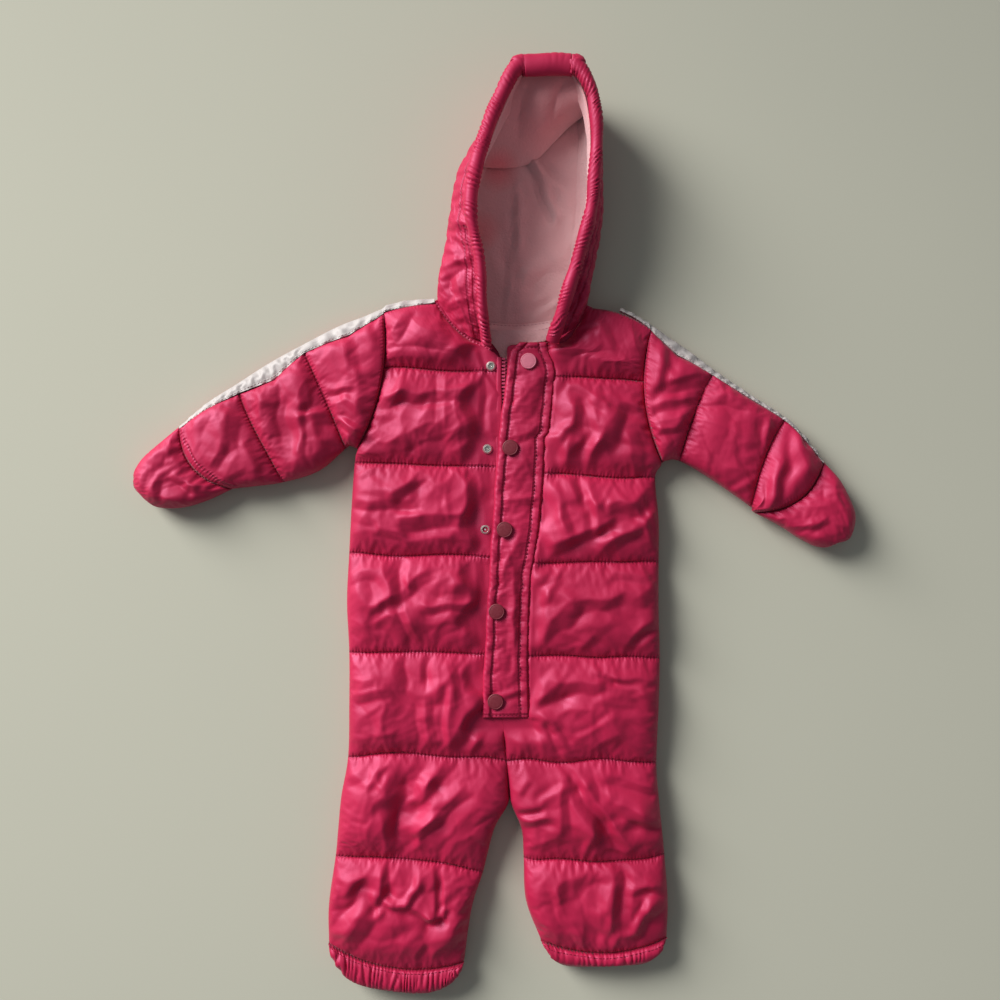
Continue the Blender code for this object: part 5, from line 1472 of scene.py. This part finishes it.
def make_band(name, panel, starts, shoulder, seed):
    """The light strip along the shoulder and the top of the sleeve."""
    share = linear_rows(starts, panel.position)
    outer = panel.ends[:, 0:2]
    bulge = panel.ends[:, 4] * 4 * share * (1 - share)
    inner = outer + panel.chord * share[:, None] + panel.normal * bulge[:, None]
    run = np.linalg.norm(outer - outer[0], axis=1)
    outer = outer - panel.chord / panel.length[:, None] * (BAND_START * np.exp(-(run / 15) ** 2))[:, None]
    first = np.array(shoulder)
    places = np.linspace(0, len(first), 4 * 6 + 1)[:-1]
    join = np.concatenate([first, np.concatenate([outer[1], inner[1]])[None]])
    lead = np.stack([np.interp(places, np.arange(len(join)), join[:, k]) for k in range(4)], axis=1)
    rest = np.concatenate([outer[1:], inner[1:]], axis=1)
    while (len(lead) + len(rest) - 1) % 4:
        rest = np.concatenate([rest[:1], (rest[:1] + rest[1:2]) / 2, rest[1:]])
    edges = np.concatenate([lead, rest])
    u = np.linspace(0, 1, BAND_COLUMNS + 1)
    plan = edges[:, None, 0:2] * (1 - u)[None, :, None] + edges[:, None, 2:4] * u[None, :, None]
    height = np.interp(u, *zip(*BAND_SECTION))
    target = with_height(plan, FRONT_BASE + height[None, :] + 0 * plan[..., 0])
    inside = with_height(plan, FRONT_BASE)
    free = free_inside(plan.shape[:2])
    surface = settle(target, 0.02, 0.07, free, seed, rise=0.9, fall=1.6, lower=inside[..., 2] + 0.4,
                     waves=((34, 90, 25, 1.2), (16, 90, 20, 0.5), (8, 90, 20, 0.3)), near=1.0)
    piece = wall_piece(name + "_cloth", surface, inside, BAND, (name,))
    BAND_STITCHES.line(surface[:, -3], upward_normals(surface)[:, -3])


def make_sleeve(name, side, table, mitt_table, shoulder, cuff, seed):
    full_rows = sleeve_rows(table, side, EDGE_WALL, ARMHOLE_GAP, -MITT_GAP)
    front_rows = sleeve_rows(table, side, SEAM_WALL, ARMHOLE_GAP, -MITT_GAP)
    front = Panel(front_rows, STEP, starts=band_shares(table, 2 * SEAM))
    surface = make_front(name + "_sleeve_front", front, SLEEVE_PUFF, SLEEVE_ROLL, seed, lift=ARMHOLE_LIFT,
                         cuff=cuff)
    stitch_rows(surface, front.seams[1:-1])
    back = Panel(full_rows, BACK_STEP)
    under = make_back(name + "_sleeve_back", back, SLEEVE_ROLL, seed + 3)
    stitch_back_rows(under, back.seams[1:-1])
    make_band(name + "_band", Panel(full_rows, STEP), band_shares(table, 0), shoulder, seed + 5)
    mitt_rows = sleeve_rows(mitt_table, side, EDGE_WALL, MITT_GAP, 0)
    make_front(name + "_mitt_front", Panel(mitt_rows, STEP), MITT_PUFF, SLEEVE_ROLL, seed + 9, loose=0.02)
    make_back(name + "_mitt_back", Panel(mitt_rows, BACK_STEP), SLEEVE_ROLL, seed + 12)


# ---------------------------------------------------------------- hood

def hood_section(row):
    """Nine points of the hood's outside, from the right rim under the back to the left rim."""
    middle_x = (row.side_l_x + row.side_r_x) / 2
    points = []
    for rim, side_point, outward in (
        ((row.rim_l_x, row.rim_l_y), (row.side_l_x, row.side_l_y), -1),
        ((row.rim_r_x, row.rim_r_y), (row.side_r_x, row.side_r_y), 1),
    ):
        cheek = (
            (rim[0] + side_point[0]) / 2 + outward * row.cheek,
            (rim[1] + side_point[1]) / 2 - row.cheek,
            (row.rim_z + row.side_z + row.cheek) / 2,
        )
        low = (
            side_point[0] + (middle_x - side_point[0]) * SIDE_FLOOR_SHARE,
            side_point[1] + (row.back_y - side_point[1]) * SIDE_BACK_SHARE,
            row.back_z,
        )
        points.append([
            (rim[0], rim[1], row.rim_z), cheek, (side_point[0], side_point[1], row.side_z), low,
        ])
    return points[0] + [(middle_x, row.back_y, row.back_z)] + points[1][::-1]


HOOD_POINTS = np.array([hood_section(row) for row in HOOD], float)


def hood_outer(s, t):
    """Outer surface of the hood at every pair of s and t."""
    along = np.einsum("si,ijk->sjk", spline_weights(s, len(HOOD)), HOOD_POINTS)
    surface = np.einsum("tj,sjk->stk", spline_weights(t, 9), along)
    surface[..., 2] = np.maximum(surface[..., 2], 0.0)
    return surface


def hood_layer(s, t, inward):
    """The hood's surface, moved from its outer surface towards the hollow."""
    step = 0.05
    s_inner = np.clip(s, step, CROWN_INSIDE)
    t_inner = np.clip(t, RIM_INSIDE, LAST_T - RIM_INSIDE)
    along = hood_outer(s_inner + step, t_inner) - hood_outer(s_inner - step, t_inner)
    across = hood_outer(s_inner, t_inner + step) - hood_outer(s_inner, t_inner - step)
    normal = np.cross(across, along)
    normal /= np.linalg.norm(normal, axis=2)[..., None]
    depth = inward * (NECK_THIN + (1 - NECK_THIN) * np.minimum(s, 1))
    surface = hood_outer(s, t) + normal * depth[:, None, None]
    surface[..., 2] = np.maximum(surface[..., 2], 0.0)
    return surface, normal


def hood_steps(first, last, length, step):
    """Even places on the hood, a multiple of four cells of about one step."""
    cells = 4 * max(1, round(length / (4 * step)))
    return np.linspace(first, last, cells + 1)


def make_hood_panel(name, t_first, t_last, breadth, seed, slack, rim=None):
    """A panel of the hood; rim says which of its sides the casing is sewn to."""
    s = hood_steps(0, LAST_S, HOOD_LENGTH, HOOD_STEP)
    t = hood_steps(t_first, t_last, breadth, HOOD_STEP)
    outer, normal = hood_layer(s, t, 0)
    inner, _normal = hood_layer(s, t, HOOD_WALL)
    upward = np.clip(-1.3 * normal[..., 2], 0, 1)
    relief = fold_height(outer[..., :2], HOOD_FOLDS)
    relief += fold_height(outer[..., :2], small_creases(outer[..., :2], seed, 14.0, 0.35))
    outer = outer - normal * (relief * upward)[..., None]
    free = free_inside(outer.shape[:2])
    from_rim, marks = np.full(free.shape, 99.0), None
    if rim is not None:
        from_rim = run_lengths(outer, 1)
        if rim < 0:
            from_rim = from_rim[:, -1:] - from_rim
        _u, down = arc_places(outer)
        low = ease((SHIRR_TOP - s) / 0.4)[:, None]
        off = np.abs(from_rim - CASING_LINES[1]) + 20 * ease((s - LINE_TOP) / 0.2)[:, None]
        off = np.minimum(off, np.abs(from_rim - CASING_LINES[0]) + 20 * (1 - low))
        marks = np.clip(1 - off / STITCH_REACH, 0, 1), down
        band = np.exp(-(np.abs(from_rim - np.mean(CASING_LINES)) / 7) ** 4) * low
        drift = 1.2 * ripples(from_rim, down, 26, 90, 30, seed, 8)
        gather = puckers(down, 3.7, drift) * (1.5 if rim > 0 else 0.5)
        outer = outer - normal * (gather * band)[..., None]
    facing = grid_normals(outer)
    flip = np.sign(-(facing * normal).sum())
    base = outer if flip > 0 else outer[:, ::-1]
    surface = settle(base, *slack, free, seed, rise=1.2, fall=2.0,
                     waves=((40, 60, 30, 0.8), (18, 60, 30, 0.25), (8, 80, 20, 0.15)))
    surface = surface if flip > 0 else surface[:, ::-1]
    surface[..., 2] = np.maximum(surface[..., 2], 0.0)
    piece = shell_wall(name, surface, inner, marks, pull=0.6)


def rim_frames(positions):
    """Centre, rise and side of the rim's casing at fractional points."""
    line = np.concatenate([HOOD_POINTS[:, 0], HOOD_POINTS[::-1, -1]])
    count = len(line)
    step = 0.02
    spot = spline_weights(positions, count) @ line
    before = spline_weights(np.maximum(positions - step, 0), count) @ line
    after = spline_weights(np.minimum(positions + step, count - 1), count) @ line
    along = after - before
    along /= np.linalg.norm(along, axis=1)[:, None]
    rise = np.array((0.0, 0.0, 1.0)) - along * along[:, 2:3]
    rise /= np.linalg.norm(rise, axis=1)[:, None]
    centre = spot + rise * (RIM_RADIUS + 2 * LAYER_GAP)
    return centre, rise, np.cross(along, rise)


def make_casing(name, first, last, seed, pinch, slant, pitch=4.2):
    """A padded casing along the rim; its cloth is gathered across, or aslant."""
    rough = np.linspace(first, last, 60)
    places = run_lengths(rim_frames(rough)[0])
    count = int(places[-1] / CASING_STEP)
    positions = np.interp(np.linspace(0, places[-1], count + 1), places, rough)
    centre, rise, side = rim_frames(positions)
    broad = np.interp(positions, *zip(*RIM_BREADTH))
    angle = 2 * math.pi * np.arange(CASING_SIDES) / CASING_SIDES
    path = np.linspace(0, places[-1], count + 1)
    v = np.broadcast_to(path[:, None], (count + 1, CASING_SIDES))
    inward = RIM_RADIUS * np.cos(angle)[None, :]
    drift = 1.3 * ripples(inward + 0 * v, v, 34, 90, 40, seed, 8)
    patchy = np.clip(0.75 + 0.6 * ripples(inward + 0 * v, v, 22, 60, 60, seed + 1, 8), 0.1, 1.4)
    share = np.linspace(0, 1, count + 1)[:, None]
    radius = RIM_RADIUS - 0.2 + pinch(share) * patchy * puckers(v + slant * inward, pitch, drift)
    radius = radius + 0.3 * ripples(inward * 2 + 0 * v, v, 40, 80, 40, seed + 2, 8)
    ends = np.minimum(path, path[-1] - path)[:, None]
    radius = np.minimum(radius, RIM_RADIUS + 0.7) * (0.95 + 0.05 * quarter_round(ends / 1.5))
    underneath = ease((-np.sin(angle) - 0.35) / 0.4)[None, :]
    radius = radius + (RIM_RADIUS + RIM_SEAT - radius) * underneath
    shift = RIM_RADIUS * RIM_SHIFT * (broad - 1)
    reach = np.cos(angle)[None, :] * radius * broad[:, None] + shift[:, None]
    rings = (centre[:, None, :] + side[:, None, :] * reach[..., None]
             + rise[:, None, :] * (np.sin(angle)[None, :] * radius)[..., None])
    piece = tube_piece(name + "_cloth", rings, SHELL, (name,))


def make_lining():
    """Fleece inside the hood, the crown's fold over it, and the strip along the neck seam."""
    lining_out = HOOD_WALL + 2 * LAYER_GAP
    lining_in = lining_out + LINING_WALL
    s = hood_steps(0, LAST_S, HOOD_LENGTH, LINING_STEP)
    t = hood_steps(0, LAST_T, LINING_BREADTH, LINING_STEP)
    out, _normal = hood_layer(s, t, lining_out)
    inner, normal = hood_layer(s, t, lining_in)
    u, v = arc_places(inner)
    soft = ripples(u, v, 60, 40, 60, 91, 10) * 0.8 + ripples(u, v, 22, 40, 60, 92, 10) * 0.25
    edge = np.minimum(np.minimum(s, LAST_S - s)[:, None], np.minimum(t, LAST_T - t)[None, :])
    upward = np.clip(1.2 * normal[..., 2], 0, 1)
    relief = fold_height(inner[..., :2], LINING_FOLDS) * upward + np.maximum(soft, -0.3)
    inside_rim = 1.2 * np.exp(-((t - 7.2) / 0.6) ** 2) + 1.5 * np.exp(-((t - 0.8) / 0.7) ** 2)
    relief += LINING_ROLL * inside_rim[None, :] * (ease((s - 1.5) / 2) * ease((8.3 - s) / 1.2))[:, None]
    inner = inner + normal * (relief * np.clip(edge / 0.8, 0, 1))[..., None]
    lining = wall_piece("hood_lining_cloth", inner, out, FLEECE, ("hood_lining",))

    cells = np.linspace(0, 1, 41)
    table = np.array(CROWN_FOLD, float)
    columns = spline_weights(cells * (len(table) - 1), len(table)) @ table
    down = np.linspace(0, 1, 45)[:, None]
    x = columns[:, 0] + (columns[:, 3] - columns[:, 0]) * down
    y = columns[:, 1] + (columns[:, 4] - columns[:, 1]) * down
    z = columns[:, 2] + (columns[:, 5] - columns[:, 2]) * down + CROWN_BELLY * np.sin(math.pi * down)
    lobes = CROWN_LOBES * puckers(cells, 0.33, 0.5 * np.sin(4 * down) + 0.5)
    z = z + lobes * np.sin(math.pi * np.clip(down * 1.3, 0, 1)) * np.sin(math.pi * cells) ** 0.5
    hem = np.clip((1 - down) * 14, 0, 1)
    upper = np.stack([x, y, z - 1.5 * (1 - quarter_round(hem))], axis=2)
    under = np.stack([x, y, z - 2.4], axis=2)
    crown = wall_piece("hood_lining_crown", upper, under, FLEECE)

    strip_s = np.linspace(0, STRIP_CLIMB, 13)
    strip_t = hood_steps(SIDE_SEAM + HOOD_SEAM, LAST_T - SIDE_SEAM - HOOD_SEAM, CENTRE_BREADTH, LINING_STEP)
    strip_out, _n = hood_layer(strip_s, strip_t, lining_in + LAYER_GAP)
    strip_in, _n = hood_layer(strip_s, strip_t, lining_in + LAYER_GAP + STRIP_WALL)
    climb = ease(1 - strip_s / STRIP_CLIMB)[:, None] ** 0.7
    for layer, height in ((strip_out, STRIP_RISE - STRIP_WALL), (strip_in, STRIP_RISE)):
        layer[..., 2] += (height - layer[..., 2]) * climb
    strip = wall_piece("neck_strip_cloth", strip_in, strip_out, FLEECE, ("neck_strip",))
    for row in (2, 10):
        LINING_STITCHES.flat_line(strip_in[row])


def make_hood():
    """Three panels, the lining, and the rim's casing in three lengths."""
    left_seam = LAST_T - SIDE_SEAM
    make_hood_panel("hood_right_side", 0, SIDE_SEAM - HOOD_SEAM, SIDE_BREADTH, 31, (0.02, 0.03), 1)
    make_hood_panel("hood_centre", SIDE_SEAM + HOOD_SEAM, left_seam - HOOD_SEAM, CENTRE_BREADTH, 33,
                    (0.02, 0.02))
    make_hood_panel("hood_left_side", left_seam + HOOD_SEAM, LAST_T, SIDE_BREADTH, 35, (0.02, 0.03), -1)
    make_lining()
    first, second = RIM_JOINTS
    start, end = RIM_ENDS
    gap = 0.002
    make_casing("hood_rim_right", start, first - gap, 41, lambda x: 1.3 + 0.7 * ease((0.45 - x) / 0.15),
                0.4, 3.8)
    make_casing("hood_rim_top", first + gap, second - gap, 42, lambda x: 0.25 + 0 * x, 0.0, 9.0)
    make_casing("hood_rim_left", second + gap, end, 43, lambda x: 1.8 + 0 * x, -0.9, 3.9)


def make_neck_facing():
    """The piece of lining that shows at the back of the neck."""
    rows, cols = 16, 30
    table = np.array(NECK_FACING, float)
    y = np.linspace(table[0, 0], table[-1, 0], rows + 1)
    left, right = falling_table(NECK_FACING, y, 1), falling_table(NECK_FACING, y, 2)
    u = np.linspace(0, 1, cols + 1)
    x = left[:, None] + (right - left)[:, None] * u
    plan = plan_grid(x, y)
    base = BACK_TOP + LAYER_GAP
    soft = 0.3 * ripples(plan[..., 0], plan[..., 1], 18, 30, 60, 61, 8)
    upper = with_height(plan, base + STRIP_WALL + np.maximum(soft, -0.4))
    piece = wall_piece("neck_facing_cloth", upper, with_height(plan, base), FLEECE,
                       ("neck_facing",))


def make_neck_seam(name, line):
    """The stitched edge of a front, turned up against the hood."""
    points = np.array(line, float)
    rows = spline_weights(np.linspace(0, len(points) - 1, 44), len(points)) @ points
    along = np.gradient(rows[:, :2], axis=0)
    along /= np.linalg.norm(along, axis=1)[:, None]
    outward = np.stack([-along[:, 1], along[:, 0]], axis=1)
    across, bulge = (np.array(column) for column in zip(*NECK_SEAM_SECTION))
    plan = rows[:, None, :2] + outward[:, None, :] * across[None, :, None]
    run = run_lengths(rows[:, :2])
    gather = 0.5 * puckers(run, 3.6, 0.8 * np.sin(run / 9))
    z = rows[:, 2:3] + bulge[None, :] + gather[:, None] * (bulge[None, :] > 0)
    under = rows[:, 2:3] - 1.2 + 0 * bulge[None, :]
    near = np.clip(1 - np.abs(across + 1.0) / STITCH_REACH, 0, 1)[None, :] + 0 * z
    piece = wall_piece(name, with_height(plan, z), with_height(plan, under), SHELL,
                       marks=(near, run[:, None] + 0 * z))


make_half("right", -1, RIGHT_FRONT, RIGHT_BACK_NECK, RIGHT_ARMHOLE, RIGHT_HEM_EDGE, 4.0, 101)
make_half("left", 1, LEFT_FRONT, LEFT_BACK_NECK, LEFT_ARMHOLE, LEFT_HEM_EDGE, 6.5, 151)
make_sleeve("right", -1, RIGHT_SLEEVE, RIGHT_MITT, RIGHT_SHOULDER_BAND, RIGHT_CUFF, 201)
make_sleeve("left", 1, LEFT_SLEEVE, LEFT_MITT, LEFT_SHOULDER_BAND, LEFT_CUFF, 251)
make_flap()
make_zip()
make_snaps()
make_hood()
make_neck_facing()
make_neck_seam("right_neck_seam", RIGHT_NECK_SEAM)
make_neck_seam("left_neck_seam", LEFT_NECK_SEAM)
SHELL_STITCHES.build("stitches_shell", SHELL_THREAD)
BAND_STITCHES.build("stitches_band", BAND_THREAD)
LINING_STITCHES.build("stitches_lining", LINING_THREAD)


# ---------------------------------------------------------------- floor, light and camera

FLOOR_HALF = 6000.0
FLOOR_Z = -0.6


def make_floor():
    corners = [(x * FLOOR_HALF, y * FLOOR_HALF, FLOOR_Z) for x, y in ((-1, -1), (1, -1), (1, 1), (-1, 1))]
    mesh = plain_mesh("floor", corners, [(0, 1, 2, 3)])
    floor = link_object("floor", mesh)
    nodes = Nodes("floor_linen")
    nodes.link(nodes.mix(nodes.noise(3, 2), (0.50, 0.50, 0.42), (0.52, 0.52, 0.435)), "Base Color")
    nodes.set(Roughness=0.95, Specular_IOR_Level=0.2)
    mesh.materials.append(nodes.material)


def make_light(name, place, aim, size, spread, energy, colour):
    """A soft rectangular lamp, in metres, degrees and watts, that points at its aim."""
    light = bpy.data.lights.new(name, "AREA")
    light.shape = "RECTANGLE"
    light.size, light.size_y = size
    light.spread = math.radians(spread)
    light.energy = energy
    light.color = colour
    lamp = link_object(name, light)
    lamp.location = place
    lamp.rotation_euler = (Vector(aim) - Vector(place)).to_track_quat("-Z", "Y").to_euler()


def make_camera():
    """The camera stands 1 m above the garment and looks straight down on its front."""
    data = bpy.data.cameras.new("camera")
    data.sensor_width = 36
    data.lens = 40
    camera = link_object("camera", data)
    camera.location = (0.005, 0.029, 1.0)
    camera.rotation_euler = (0, 0, 0)
    bpy.context.scene.camera = camera


make_floor()
make_camera()
make_light("window", (-2.95, 2.2, 1.85), (-0.31, -0.26, 0), (2.2, 2.8), 60, 51, (1.0, 0.98, 0.95))
world = bpy.data.worlds.new("studio")
world.use_nodes = True
world.node_tree.nodes["Background"].inputs["Color"].default_value = (0.9, 0.95, 1.0, 1.0)
world.node_tree.nodes["Background"].inputs["Strength"].default_value = 0.20
bpy.context.scene.world = world
bpy.context.scene.view_settings.view_transform = "Standard"
